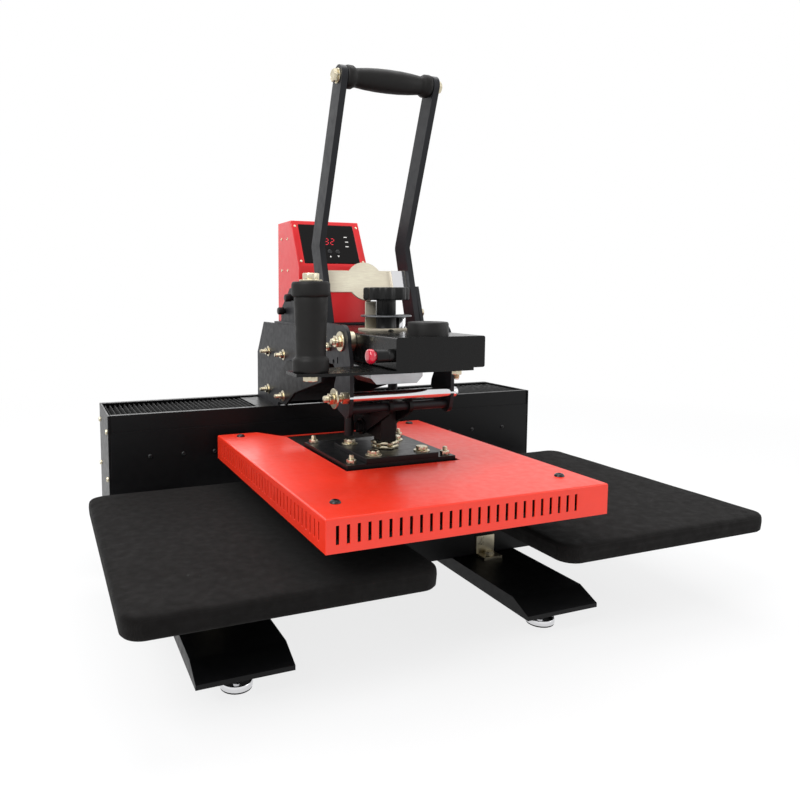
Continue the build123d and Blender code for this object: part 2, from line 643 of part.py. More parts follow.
def carriage_bolts():
    """Long hex bolts through the column, and the bolt through the side grip."""
    pieces = []
    for y, z in COLUMN_BOLTS:
        for side in (-1, 1):
            thick = CHEEK + (GUSSET if y < GUSSET_REAR and z < GUSSET_BOLT_TOP else 0)
            x0 = HEAD_X + side * (COLUMN_HALF + thick)
            x1 = x0 + side * COLUMN_BOLT_HEAD
            x2 = x0 + side * COLUMN_BOLT_REACH
            bolt = hex_x(min(x0, x1), max(x0, x1), y, z, COLUMN_BOLT_FLATS)
            pieces.append(bolt + rod_x(min(x1, x2), max(x1, x2), y, z, COLUMN_BOLT_RADIUS))
    x = HEAD_X + GRIP_X
    top = ARM_BOTTOM + GRIP_HEIGHT
    pieces.append(rod_z(x, GRIP_Y, top, top + 2.5, 15) + hex_z(x, GRIP_Y, top + 2.5, top + 11, 19))
    under = ARM_BOTTOM - ARM_PLATE
    pieces.append(hex_z(x, GRIP_Y, under - 8, under, 19))
    pieces.append(hex_z(HEAD_X + 36, ARM_FRONT + 18, under - 7, under, 13)
                  + rod_z(HEAD_X + 36, ARM_FRONT + 18, under - 14, under - 7, 4))
    return pieces


def control_bracket():
    """The grey bracket that holds the control box on the column, with two ears."""
    half = COLUMN_HALF + CHEEK
    body = block(HEAD_X - half, HEAD_X + half, BOX_FRONT - 9, BOX_REAR + 4, ARM_TOP, BOX_BOTTOM)
    outline = [(EAR_FRONT, ARM_TOP + 1), (EAR_FRONT, EAR_TOP), (EAR_KNEE, EAR_TOP), (EAR_REACH, EAR_REAR_TOP)]
    outline += [(EAR_REACH, ARM_TOP + 1)]
    for side in (-1, 1):
        body += plate_x(outline, *span(side, BOX_HALF + SOFT_GAP, EAR_THICK))
    return body


def clamp_knobs():
    """Four black knobs that clamp the control box between the ears."""
    pieces = []
    for y, z in CLAMP_PLACES:
        for side in (-1, 1):
            x0 = HEAD_X + side * (BOX_HALF + SOFT_GAP + EAR_THICK)
            x1 = x0 + side * CLAMP_LENGTH
            pieces.append(rod_x(min(x0, x1), max(x0, x1), y, z, CLAMP_RADIUS))
    return pieces


def slope_plane():
    """The plane of the control box's sloping face: X across, Y up the slope, Z out."""
    rise = BOX_TOP - BOX_KNEE
    length = math.hypot(BOX_SLOPE_Y, rise)
    middle = (HEAD_X, BOX_FRONT + BOX_SLOPE_Y / 2, (BOX_KNEE + BOX_TOP) / 2)
    return Plane(origin=middle, x_dir=(1, 0, 0), z_dir=(0, -rise / length, BOX_SLOPE_Y / length))


def control_box():
    """The red sheet steel housing of the controller."""
    outline = [(BOX_FRONT, BOX_BOTTOM), (BOX_FRONT, BOX_KNEE), (BOX_FRONT + BOX_SLOPE_Y, BOX_TOP)]
    outline += [(BOX_REAR, BOX_TOP), (BOX_REAR, BOX_BOTTOM)]
    body = plate_x(outline, HEAD_X - BOX_HALF, HEAD_X + BOX_HALF)
    t = BOX_SHEET
    inner = [(BOX_FRONT + t, BOX_BOTTOM + t), (BOX_FRONT + t, BOX_KNEE - 0.5), (BOX_FRONT + BOX_SLOPE_Y + 1.5, BOX_TOP - t)]
    inner += [(BOX_REAR - t, BOX_TOP - t), (BOX_REAR - t, BOX_BOTTOM + t)]
    body -= plate_x(inner, HEAD_X - BOX_HALF + t, HEAD_X + BOX_HALF - t)
    window = extrude(Rectangle(2 * PANEL_HALF, PANEL_LENGTH), 8, both=True)
    body -= slope_plane() * window
    body -= block(HEAD_X + 10, HEAD_X + 38, BOX_REAR - 5, BOX_REAR + 1, 486, 506)
    body -= block(HEAD_X - 38, HEAD_X - 16, BOX_REAR - 5, BOX_REAR + 1, 488, 502)
    return body


def control_panel():
    """The black glossy panel of the controller, holed for its two buttons."""
    body = Pos(0, 0, -PANEL_THICK + 0.6) * extrude(Rectangle(2 * PANEL_HALF - 0.6, PANEL_LENGTH - 0.6), PANEL_THICK)
    for x, y in button_places():
        body -= Pos(x, y, 0) * Cylinder(BUTTON_RADIUS + BUTTON_GAP, 4 * PANEL_THICK)
    return slope_plane() * body


def button_places():
    """The two panel buttons, on the sloping plane."""
    return [(x, BUTTON_ROW) for x in BUTTON_COLUMNS]


def panel_button(index):
    """A round push button of the panel, with its flange behind it."""
    x, y = button_places()[index]
    cap = Pos(x, y, -PANEL_THICK + 0.6) * extrude(Circle(BUTTON_RADIUS), PANEL_THICK + BUTTON_RISE)
    return slope_plane() * cap


def mains_inlet():
    """The mains inlet at the back of the control box, and the frame of the switch beside it."""
    socket = block(HEAD_X + 10.3, HEAD_X + 37.7, BOX_REAR - 18, BOX_REAR + 1.5, 486.3, 505.7)
    socket -= block(HEAD_X + 13, HEAD_X + 35, BOX_REAR - 15, BOX_REAR + 2, 489, 503)
    frame = block(HEAD_X - 37.7, HEAD_X - 16.3, BOX_REAR - 16, BOX_REAR + 1.5, 488.3, 501.7)
    frame -= block(HEAD_X - 35.5, HEAD_X - 18.5, BOX_REAR - 12, BOX_REAR + 2, 490, 500)
    return [socket, frame]


def mains_rocker():
    """The rocker of the mains switch."""
    return block(HEAD_X - 35, HEAD_X - 19, BOX_REAR - 7, BOX_REAR + 2.5, 491.4, 498.6)


def stop_button_body():
    """The black barrel of the stop button, on the left side of the arm."""
    x1 = HEAD_X - COLUMN_HALF
    barrel = rod_x(x1 - STOP_LENGTH, x1, STOP_Y, STOP_Z, STOP_RADIUS)
    return barrel - rod_x(x1 - STOP_LENGTH - 1, x1 - STOP_LENGTH + 14, STOP_Y, STOP_Z, 6.5)


def stop_button_cap():
    """The red mushroom cap with its plunger."""
    x1 = HEAD_X - COLUMN_HALF - STOP_LENGTH - STOP_TRAVEL - 0.5
    cap = rod_x(x1 - 8, x1, STOP_Y, STOP_Z, STOP_RADIUS + 1)
    cap = fillet(cap.edges().group_by(Axis.X)[0], 3.0)
    return cap + rod_x(x1, x1 + 12, STOP_Y, STOP_Z, 6.2)


def ram():
    """The square ram with the ear for its links behind it, and the guide block round the ear."""
    half = RAM_SIZE / 2
    rear = HEAD_Y + half
    body = block(HEAD_X - half, HEAD_X + half, HEAD_Y - half, rear, NUT_TOP, RAM_TOP)
    wall = half - RAM_WALL
    body -= block(HEAD_X - wall, HEAD_X + wall, HEAD_Y - wall, HEAD_Y + wall, NUT_TOP + 20, RAM_TOP + 1)
    guide = block(HEAD_X - BUSH_HALF, HEAD_X + BUSH_HALF, rear, BUSH_REAR, BUSH_BOTTOM, BUSH_TOP)
    for side in (-1, 1):
        guide -= rod_z(HEAD_X + side * POST_SPREAD, POST_Y, BUSH_BOTTOM - 1, BUSH_TOP + 1, POST_RADIUS + RUNNING_GAP)
        x0, x1 = span(side, LINK_INNER - LINK_SLACK, LINK_THICK + 2 * LINK_SLACK)
        guide -= block(x0, x1, rear - 1, BUSH_SLOT_REAR, BUSH_BOTTOM - 1, BUSH_TOP + 1)
    ear = half - 1
    body += block(HEAD_X - ear, HEAD_X + ear, rear - 1, EAR_REAR, TOE_Z - LINK_TOE, BUSH_TOP)
    return body + guide


def mount_plate_lower():
    """The square steel plate over the heater, on four pillars."""
    top = LOWER_PLATE_TOP
    x0 = HEAD_X - LOWER_PLATE_HALF
    body = block(x0, HEAD_X + LOWER_PLATE_HALF, LOWER_PLATE_FRONT, LOWER_PLATE_REAR, top - PLATE_STEEL, top)
    for x, y in corner_places():
        body += rod_z(x, y, HEATER_TOP, top - PLATE_STEEL, 8)
    return body


def corner_places():
    """The four corners of the lower plate where it is bolted."""
    inset = 12
    xs = (HEAD_X - LOWER_PLATE_HALF + inset, HEAD_X + LOWER_PLATE_HALF - inset)
    ys = (LOWER_PLATE_FRONT + inset, LOWER_PLATE_REAR - inset)
    return [(x, y) for x in xs for y in ys]


def mount_plate_upper():
    """The smaller plate under the ram."""
    half = UPPER_PLATE_HALF
    return block(HEAD_X - half, HEAD_X + half, HEAD_Y - half, HEAD_Y + half, LOWER_PLATE_TOP, UPPER_PLATE_TOP)


def head_fasteners():
    """The large nut under the ram, four bolts round it and four at the corners."""
    pieces = [hex_z(HEAD_X, HEAD_Y, UPPER_PLATE_TOP, NUT_TOP, RAM_NUT_FLATS)]
    for x in (-42, 42):
        for y in (-44, 44):
            top = UPPER_PLATE_TOP
            washer = rod_z(HEAD_X + x, HEAD_Y + y, top, top + 1.8, 9.5)
            pieces.append(washer + hex_z(HEAD_X + x, HEAD_Y + y, top + 1.8, top + 8, 16))
    for x, y in corner_places():
        top = LOWER_PLATE_TOP
        pieces.append(hex_z(x, y, top, top + 6.5, 13) + rod_z(x, y, top + 6.5, top + 13, 4))
    return pieces


def heater_plate():
    """The cast aluminium heating plate."""
    x0 = HEAD_X - HEATER_WIDTH / 2
    y0 = HEAD_Y - HEATER_DEPTH / 2
    body = block(x0, x0 + HEATER_WIDTH, y0, y0 + HEATER_DEPTH, HEATER_BOTTOM, HEATER_TOP)
    return fillet(body.edges().filter_by(Axis.Z), 6.0)


def insulation():
    """The mineral wool blanket over the heating plate."""
    x0 = HEAD_X - HEATER_WIDTH / 2 + 2
    y0 = HEAD_Y - HEATER_DEPTH / 2 + 2
    body = block(x0, x0 + HEATER_WIDTH - 4, y0, y0 + HEATER_DEPTH - 4, HEATER_TOP + SOFT_GAP, WOOL_TOP)
    for x, y in corner_places() + cover_screw_places():
        body -= rod_z(x, y, HEATER_TOP, WOOL_TOP + 1, 8 + SOFT_GAP)
    return body


def vent_offsets(count):
    """Evenly pitched places about zero."""
    return [(i - (count - 1) / 2) * VENT_PITCH for i in range(count)]


def head_cover():
    """The red sheet cover with vent slots on three sides and an open back."""
    x0 = HEAD_X - COVER_WIDTH / 2
    x1 = HEAD_X + COVER_WIDTH / 2
    t = COVER_SHEET
    body = block(x0, x1, COVER_FRONT, COVER_REAR, COVER_BOTTOM, COVER_TOP)
    body = fillet(body.edges().group_by(Axis.Z)[-1], 2.5)
    body -= block(x0 + t, x1 - t, COVER_FRONT + t, COVER_REAR - t, COVER_BOTTOM - 1, COVER_TOP - t)
    flare = COVER_REAR - CUTOUT_FLARE_DEPTH
    cut = [(HEAD_X - CUTOUT_HALF, CUTOUT_FRONT), (HEAD_X + CUTOUT_HALF, CUTOUT_FRONT), (HEAD_X + CUTOUT_HALF, flare)]
    cut += [(HEAD_X + CUTOUT_HALF + CUTOUT_FLARE, COVER_REAR + 1), (HEAD_X - CUTOUT_HALF - CUTOUT_FLARE, COVER_REAR + 1)]
    cut += [(HEAD_X - CUTOUT_HALF, flare)]
    body -= Pos(0, 0, WOOL_TOP) * extrude(make_face(Polyline(*cut, close=True)), 40)
    z1 = COVER_TOP - VENT_DROP
    z0 = z1 - VENT_HEIGHT
    slots = []
    for dx in vent_offsets(FRONT_VENTS):
        x = HEAD_X - 19.7 + dx
        slots.append(block(x - VENT_WIDTH / 2, x + VENT_WIDTH / 2, COVER_FRONT - 1, COVER_FRONT + t + 1, z0, z1))
    for dy in vent_offsets(SIDE_VENTS):
        y = HEAD_Y - 6 + dy
        slots.append(block(x0 - 1, x0 + t + 1, y - VENT_WIDTH / 2, y + VENT_WIDTH / 2, z0, z1))
        slots.append(block(x1 - t - 1, x1 + 1, y - VENT_WIDTH / 2, y + VENT_WIDTH / 2, z0, z1))
    return body - slots


def cover_screw_places():
    """The four places where the head cover is screwed down."""
    reach = COVER_WIDTH / 2 - COVER_SCREW_SIDE
    return [(HEAD_X + x, y) for x in (-reach, reach) for y in (COVER_FRONT + COVER_SCREW_FRONT, COVER_REAR - COVER_SCREW_REAR)]


def cover_screws():
    """Four black button head screws on the head cover, each in a pillar that stands on the heater."""
    pieces = []
    for x, y in cover_screw_places():
        head = rod_z(x, y, COVER_TOP, COVER_TOP + 4, 7)
        head = fillet(head.edges().group_by(Axis.Z)[-1], 2.5)
        pieces.append(head)
        pieces.append(rod_z(x, y, HEATER_TOP, COVER_TOP - COVER_SHEET, 5))
    return pieces


def lever_plate_outline():
    """The lower plate of a side bar: along the bar, round the pivot and down to the knee."""
    outline = [(-47, 522), (-66, 465), (PIVOT_Y + 8, PIVOT_Z + LEVER_EYE - 1), (PIVOT_Y - 20, PIVOT_Z + 12)]
    outline += [(-157, 424), (-161, 410), (-161, 350), (KNEE_Y - 12, KNEE_Z - 5), (KNEE_Y, KNEE_Z - LEVER_KNEE)]
    outline += [(-118, 333), (-99, 350), (-103, 372), (-112, 388), (-98, 402), (-62, 402), (-34, 428), (-20, 470)]
    return outline + [(-12, 522)]


def lever(side):
    """One side bar of the lever with the plate on its foot that carries pivot, rod and knee."""
    x0, x1 = span(side, LEVER_INNER, LEVER_THICK)
    foot = (FOOT_Y, FOOT_Z)
    kink = (KINK_Y, KINK_Z)
    top = (HANDLE_Y, HANDLE_Z)
    body = bar_x(foot, LEVER_FOOT, kink, LEVER_KINK, x0, x1)
    body += bar_x(kink, LEVER_KINK, top, LEVER_END, x0, x1)
    p0, p1 = span(side, LEVER_INNER + LEVER_THICK, LEVER_PLATE)
    plate = plate_x(lever_plate_outline(), p0, p1) + rod_x(p0, p1, PIVOT_Y, PIVOT_Z, LEVER_EYE)
    plate += rod_x(p0, p1, KNEE_Y, KNEE_Z, LEVER_KNEE)
    plate -= rod_x(p0 - 1, p1 + 1, PIVOT_Y, PIVOT_Z, PIVOT_RADIUS + RUNNING_GAP)
    plate -= rod_x(p0 - 1, p1 + 1, ROD_Y, ROD_Z, ROD_RADIUS + 0.1)
    plate -= rod_x(p0 - 1, p1 + 1, -99, 406, 3.5)
    plate -= block(p0 - 1, p1 + 1, -117, -113, 404, 414)
    body += plate
    if side > 0:
        reach = LEVER_INNER + LEVER_THICK - SOFT_GAP
        body += rod_x(HEAD_X - reach, p0 + 1, KNEE_Y, KNEE_Z, KNEE_RADIUS)
    return body - rod_x(x0 - 1, x1 + 1, HANDLE_Y, HANDLE_Z, HANDLE_ROD_RADIUS + 0.1)


def handle_grip():
    """The rubber grip across the top of the lever, thicker at its ends and middle."""
    length = LEVER_INNER - SOFT_GAP
    r = HANDLE_GRIP_RADIUS
    points = [(-length, HANDLE_ROD_RADIUS + SOFT_GAP), (-length, r - 1), (-length + 6, r), (-length + 16, r - 3)]
    points += [(-length + 34, r - 1), (0, r), (length - 34, r - 1), (length - 16, r - 3), (length - 6, r)]
    points += [(length, r - 1), (length, HANDLE_ROD_RADIUS + SOFT_GAP)]
    face = make_face(Polyline(*points, close=True))
    return Pos(HEAD_X, HANDLE_Y, HANDLE_Z) * revolve(face, Axis.X)


def knee_rod():
    """The chromed rod between the lever's lower plates: a long stud at the left, a cap nut at the right."""
    end = LEVER_INNER + LEVER_THICK + LEVER_PLATE
    body = rod_x(HEAD_X - end, HEAD_X + end + 10, ROD_Y, ROD_Z, ROD_RADIUS)
    body += hex_x(*span(-1, end, 10), ROD_Y, ROD_Z, 16)
    body += rod_x(*span(-1, end + 10, 29), ROD_Y, ROD_Z, STUD_RADIUS)
    body += rod_x(*span(-1, end + 20.5, 2.5), ROD_Y, ROD_Z, AXLE_WASHER)
    return body + hex_x(*span(-1, end + 23, 8), ROD_Y, ROD_Z, 15)


def handle_fasteners():
    """The rod inside the top grip with a bolt head at each end, and the bolts of the lower plates."""
    end = LEVER_INNER + LEVER_THICK
    body = rod_x(HEAD_X - end, HEAD_X + end, HANDLE_Y, HANDLE_Z, HANDLE_ROD_RADIUS)
    pieces = []
    for side in (-1, 1):
        body += rod_x(*span(side, end, 2), HANDLE_Y, HANDLE_Z, 11)
        body += hex_x(*span(side, end + 2, 7), HANDLE_Y, HANDLE_Z, 17)
        pieces.append(hex_x(*span(side, end + LEVER_PLATE, 6), -50, 478, 13))
        stud = hex_x(*span(side, end + LEVER_PLATE, 6), -84, 428, 13)
        pieces.append(stud + rod_x(*span(side, end + LEVER_PLATE + 6, 8), -84, 428, 4))
    return [body] + pieces


def brace_plate():
    """The stainless brace between the lever's side bars, with a round middle and a thick right end."""
    rise = KINK_Z - FOOT_Z
    run = KINK_Y - FOOT_Y
    length = math.hypot(rise, run)
    plane = Plane(origin=(HEAD_X, BRACE_Y, BRACE_Z), x_dir=(1, 0, 0), z_dir=(0, -rise / length, run / length))
    face = Rectangle(2 * LEVER_INNER, BRACE_HEIGHT) + Circle(BRACE_DISC)
    body = extrude(plane * face, BRACE_THICK / 2, both=True)
    clamp = Pos(LEVER_INNER - 13, 2, 3) * Box(26, 30, 8)
    return body + plane * clamp


def knee_links():
    """Two flat links from the knee bar back to the ram's ear, with a washer and a bolt head at the foot of each."""
    pieces = []
    for side in (-1, 1):
        x0, x1 = span(side, LINK_INNER, LINK_THICK)
        body = bar_x((KNEE_Y, KNEE_Z), LINK_RADIUS, (TOE_Y, TOE_Z), LINK_TOE, x0, x1)
        body -= rod_x(x0 - 1, x1 + 1, KNEE_Y, KNEE_Z, KNEE_RADIUS + RUNNING_GAP)
        outer = LINK_INNER + LINK_THICK
        body += rod_x(*span(side, outer, 2.5), TOE_Y, TOE_Z, 14)
        pieces.append(body + hex_x(*span(side, outer + 2.5, 7), TOE_Y, TOE_Z, 17))
    return pieces


def all_nodes():
    """Each piece's name and its solids."""
    nodes = {}
    for side in ("left", "right"):
        nodes[side + "_leg"] = leg(side)
        nodes[side + "_platen_cover"] = platen_cover(side)
        nodes[side + "_bellows"] = bellows(side)
        for end in ("front", "rear"):
            nodes["foot_" + end + "_" + side] = foot(side, end)
    nodes["cross_beam"] = cross_beam()
    nodes["beam_brackets"] = beam_brackets()
    nodes["platen_saddles"] = platen_saddles()
    nodes["platen_plates"] = platen_plates()
    nodes["housing_front_panel"] = housing_front_panel()
    nodes["housing_front_cover"] = housing_front_cover()
    nodes["housing_rear_panel"] = housing_rear_panel()
    nodes["housing_end_plates"] = end_plates()
    nodes["housing_screws"] = housing_screws()
    nodes["rail_beam"] = rail_beam()
    nodes["guide_rails"] = guide_rails()
    nodes["carriage_saddle"] = carriage_saddle()
    nodes["runner_blocks"] = runner_blocks()
    nodes["column_cheeks"] = column_cheeks()
    nodes["arm_gussets"] = arm_gussets()
    nodes["arm"] = arm()
    nodes["arm_plate"] = arm_plate()
    nodes["lever_axle"] = axle()
    nodes["guide_posts"] = guide_posts()
    nodes["spindle_block"] = spindle_block()
    nodes["side_grip"] = side_grip()
    nodes["arm_puck"] = arm_puck()
    nodes["pressure_dial"] = pressure_dial()
    nodes["pressure_knob"] = pressure_knob()
    nodes["carriage_bolts"] = carriage_bolts()
    nodes["control_bracket"] = control_bracket()
    nodes["clamp_knobs"] = clamp_knobs()
    nodes["control_box"] = control_box()
    nodes["control_panel"] = control_panel()
    nodes["button_up"] = panel_button(0)
    nodes["button_down"] = panel_button(1)
    nodes["mains_inlet"] = mains_inlet()
    nodes["mains_rocker"] = mains_rocker()
    nodes["stop_button_body"] = stop_button_body()
    nodes["stop_button_cap"] = stop_button_cap()
    nodes["ram"] = ram()
    nodes["mount_plate_lower"] = mount_plate_lower()
    nodes["mount_plate_upper"] = mount_plate_upper()
    nodes["head_fasteners"] = head_fasteners()
    nodes["heater_plate"] = heater_plate()
    nodes["insulation"] = insulation()
    nodes["head_cover"] = head_cover()
    nodes["cover_screws"] = cover_screws()
    nodes["lever_left"] = lever(-1)
    nodes["lever_right"] = lever(1)
    nodes["handle_grip"] = handle_grip()
    nodes["knee_rod"] = knee_rod()
    nodes["handle_fasteners"] = handle_fasteners()
    nodes["brace_plate"] = brace_plate()
    nodes["knee_links"] = knee_links()
    return nodes


os.makedirs("parts", exist_ok=True)
for name, made in all_nodes().items():
    shape = Compound(children=list(made)) if isinstance(made, list) else made
    export_step(shape, os.path.join("parts", name + ".step"))
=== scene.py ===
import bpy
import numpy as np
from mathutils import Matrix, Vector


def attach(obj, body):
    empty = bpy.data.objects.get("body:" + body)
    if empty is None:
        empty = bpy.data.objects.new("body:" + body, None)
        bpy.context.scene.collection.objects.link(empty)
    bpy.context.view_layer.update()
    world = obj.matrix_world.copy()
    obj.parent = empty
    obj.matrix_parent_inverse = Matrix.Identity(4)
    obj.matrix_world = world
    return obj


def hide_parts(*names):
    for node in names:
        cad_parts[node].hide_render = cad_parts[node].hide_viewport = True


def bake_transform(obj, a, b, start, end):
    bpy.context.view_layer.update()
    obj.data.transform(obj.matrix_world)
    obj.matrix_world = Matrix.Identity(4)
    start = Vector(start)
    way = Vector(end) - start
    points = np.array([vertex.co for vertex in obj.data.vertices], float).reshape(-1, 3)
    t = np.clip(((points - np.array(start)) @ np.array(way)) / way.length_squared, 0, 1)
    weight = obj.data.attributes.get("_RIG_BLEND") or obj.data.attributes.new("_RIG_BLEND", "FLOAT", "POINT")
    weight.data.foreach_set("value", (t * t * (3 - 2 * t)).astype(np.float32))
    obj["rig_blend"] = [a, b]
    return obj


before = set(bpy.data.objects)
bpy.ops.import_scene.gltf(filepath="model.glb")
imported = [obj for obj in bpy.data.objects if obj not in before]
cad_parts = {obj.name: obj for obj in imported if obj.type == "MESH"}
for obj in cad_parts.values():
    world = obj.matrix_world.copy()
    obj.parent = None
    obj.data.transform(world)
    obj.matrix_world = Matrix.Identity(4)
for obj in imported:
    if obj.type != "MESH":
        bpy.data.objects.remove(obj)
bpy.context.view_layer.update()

import logging
import math
from dataclasses import dataclass
from enum import Enum
from typing import Callable, Dict, List, Optional, Sequence, Tuple, Union

import bpy
from mathutils import Matrix, Vector

LOG = logging.getLogger("heat_press")
Point = Tuple[float, float, float]
Pair = Tuple[float, float]
Profile = Sequence[Pair]
Tree = bpy.types.NodeTree
Node = bpy.types.Node
Socket = bpy.types.NodeSocket
Object = bpy.types.Object

UP = (0, 0, 1)
DOWN = (0, 0, -1)
RIGHT = (1, 0, 0)
HEAD_X = -0.056
HEAD_Y = -0.101
ARM_TOP = 0.452
ARM_UNDERSIDE = 0.404
COVER_TOP = 0.251
SIDE_GRIP = (HEAD_X - 0.18, -0.237)


class Kind(Enum):
    """How a surface is made, which decides the pattern of its material."""

    POWDER = "powder coat"
    METAL = "bare or plated metal"
    BRUSHED = "brushed metal"
    CLOTH = "woven cloth"
    MOULDED = "moulded rubber or plastic"
    WOOL = "mineral wool"
    GLOW = "lit segment"


@dataclass(frozen=True)
class Finish:
    """One finish: its colour as an sRGB hex string, its shine and its pattern's real size in metres."""

    name: str
    kind: Kind
    colour: str
    roughness: float
    grain: float = 0.0008
    relief: float = 0.1
    metallic: float = 0.0
    coat: float = 0.0
    variation: float = 0.06
    specular: float = 0.5


class Finishes(Enum):
    """Every finish on the press."""

    # Baked powder on folded sheet: fine orange peel breaks up long soft reflections
    FRAME_BLACK = Finish("satin_black_powder_coat", Kind.POWDER, "#0e0e0f", 0.42, 0.0011, 0.1, specular=0.16)
    # The same powder, a little shinier: a slow sheen along the housing's faces
    HOUSING_BLACK = Finish("housing_black_powder_coat", Kind.POWDER, "#0d0d0e", 0.36, 0.0012, 0.08,
        specular=0.16)
    # Grey powder: reads lighter than the black frame beside it
    COLUMN_GREY = Finish("dark_grey_powder_coat", Kind.POWDER, "#1a1b1e", 0.44, 0.001, 0.1, specular=0.22)
    # Gloss powder: sharp bright lines along the arm's edges
    ARM_BLACK = Finish("gloss_black_powder_coat", Kind.POWDER, "#0b0b0b", 0.26, 0.0014, 0.06, coat=0.12,
        specular=0.16)
    # Blackened steel plate: thinner and flatter than powder, so tighter highlights
    PLATE_BLACK = Finish("thin_black_oxide_steel", Kind.POWDER, "#101011", 0.34, 0.0009, 0.05, specular=0.2)
    # Saturated powder: an even warm face with soft bright edges
    COVER_RED = Finish("orange_red_powder_coat", Kind.POWDER, "#ee3218", 0.4, 0.001, 0.07, coat=0.1)
    # Deeper red powder of the control box, so that the two reds stay apart
    BOX_RED = Finish("signal_red_powder_coat", Kind.POWDER, "#d2141a", 0.34, 0.001, 0.06, coat=0.15)
    # Zinc plate with its yellow passivation: warm, slightly clouded bolt heads
    ZINC = Finish("yellowed_zinc_plate", Kind.METAL, "#c9c0a8", 0.3, 0.0016, 0.05, metallic=1.0)
    # Hard chrome on turned steel: near mirror, dark and bright bands along the rods
    CHROME = Finish("polished_chrome", Kind.METAL, "#dcdcde", 0.1, 0.004, 0.01, metallic=1.0)
    # Ground steel: fine lines along the rail that stretch its highlight across
    STEEL = Finish("ground_rail_steel", Kind.BRUSHED, "#8d8f92", 0.34, 0.0004, 0.08, metallic=1.0)
    # Stainless sheet under its cream protective film: pale and nearly matt
    STAINLESS = Finish("cream_filmed_stainless", Kind.BRUSHED, "#efe3cc", 0.45, 0.0003, 0.06, metallic=0.45)
    # Milled aluminium plate: light grey with fine cutter lines
    ALUMINIUM = Finish("milled_aluminium", Kind.BRUSHED, "#c3c4c6", 0.38, 0.0005, 0.06, metallic=1.0)
    # Cast plate with a dark non-stick coat: dull, with a faint cast grain
    HEATER = Finish("coated_cast_aluminium", Kind.METAL, "#3a3835", 0.45, 0.0012, 0.1, metallic=0.5)
    # Needled mineral wool: loose fibres, no shine at all
    WOOL = Finish("dark_mineral_wool", Kind.WOOL, "#1d1a17", 0.95, 0.0016, 0.7, specular=0.1)
    # Woven slip cover over foam: a fine weave that dulls every edge
    PAD = Finish("black_woven_slip_cover", Kind.CLOTH, "#131110", 0.92, 0.0012, 0.35, specular=0.12)
    # Coated cloth, folded: a low sheen that picks out each crest
    BELLOWS = Finish("pleated_coated_cloth", Kind.CLOTH, "#131313", 0.55, 0.0008, 0.15, specular=0.2)
    # Moulded rubber: broad dull highlight over a fine spark-eroded grain
    GRIP = Finish("matt_black_rubber", Kind.MOULDED, "#131211", 0.55, 0.0009, 0.18, specular=0.2)
    # Softer rubber under the feet: no visible highlight
    FOOT_RUBBER = Finish("foot_rubber", Kind.MOULDED, "#121110", 0.75, 0.001, 0.15, specular=0.3)
    # Moulded thermoplastic: a small clean highlight on knobs and sockets
    PLASTIC = Finish("moulded_black_plastic", Kind.MOULDED, "#0f0f0f", 0.36, 0.0007, 0.08, specular=0.22)
    # Coarser moulding of the puck: greyer and duller than the arm under it
    PUCK = Finish("cast_black_puck", Kind.MOULDED, "#141312", 0.48, 0.0008, 0.14, specular=0.22)
    # Polished moulded panel with a clear layer: mirrors the light above the digits
    PANEL = Finish("gloss_black_panel", Kind.MOULDED, "#0b0909", 0.12, 0.003, 0.01, coat=0.08, specular=0.12)
    # Button plastic: just lighter than the panel, so that the caps can be seen
    BUTTON = Finish("dark_grey_button", Kind.MOULDED, "#1c1c1d", 0.3, 0.0006, 0.04, specular=0.3)
    # Glossy coloured plastic: a deep red with one sharp highlight
    RED_CAP = Finish("gloss_red_cap", Kind.MOULDED, "#c40f2e", 0.16, 0.003, 0.01, coat=0.6)
    # Screen printed ink: flat and pale on the panel
    MARK = Finish("printed_white_mark", Kind.MOULDED, "#d8d6d2", 0.5, 0.0006, 0.02)
    # Light emitting segment: a dim even red of its own
    DIGIT = Finish("lit_red_segment", Kind.GLOW, "#c01228", 0.5)


def srgb(code: str) -> Tuple[float, float, float, float]:
    """Turns an sRGB hex string into the linear colour that a shader socket takes.

    Args:
        code: six hex digits after a hash.

    Returns:
        Linear red, green, blue and an alpha of one.
    """
    channels = []
    for start in (1, 3, 5):
        value = int(code[start:start + 2], 16) / 255.0
        channels.append(value / 12.92 if value <= 0.04045 else ((value + 0.055) / 1.055) ** 2.4)
    return channels[0], channels[1], channels[2], 1.0


def shade(code: str, factor: float) -> Tuple[float, float, float, float]:
    """The linear colour of a hex string, made lighter or darker by a factor."""
    red, green, blue, alpha = srgb(code)
    return min(red * factor, 1.0), min(green * factor, 1.0), min(blue * factor, 1.0), alpha


def fresh_tree(owner: Union[bpy.types.Material, bpy.types.World]) -> Tree:
    """Turns nodes on and empties the tree."""
    owner.use_nodes = True
    owner.node_tree.nodes.clear()
    return owner.node_tree


def link_new(name: str, data: bpy.types.ID) -> Object:
    """Makes an object round its data and links it to the scene."""
    obj = bpy.data.objects.new(name, data)
    bpy.context.scene.collection.objects.link(obj)
    return obj


def rectangle(x0: float, x1: float, y0: float, y1: float) -> List[Pair]:
    """The four corners of an upright rectangle, anticlockwise."""
    return [(x0, y0), (x1, y0), (x1, y1), (x0, y1)]


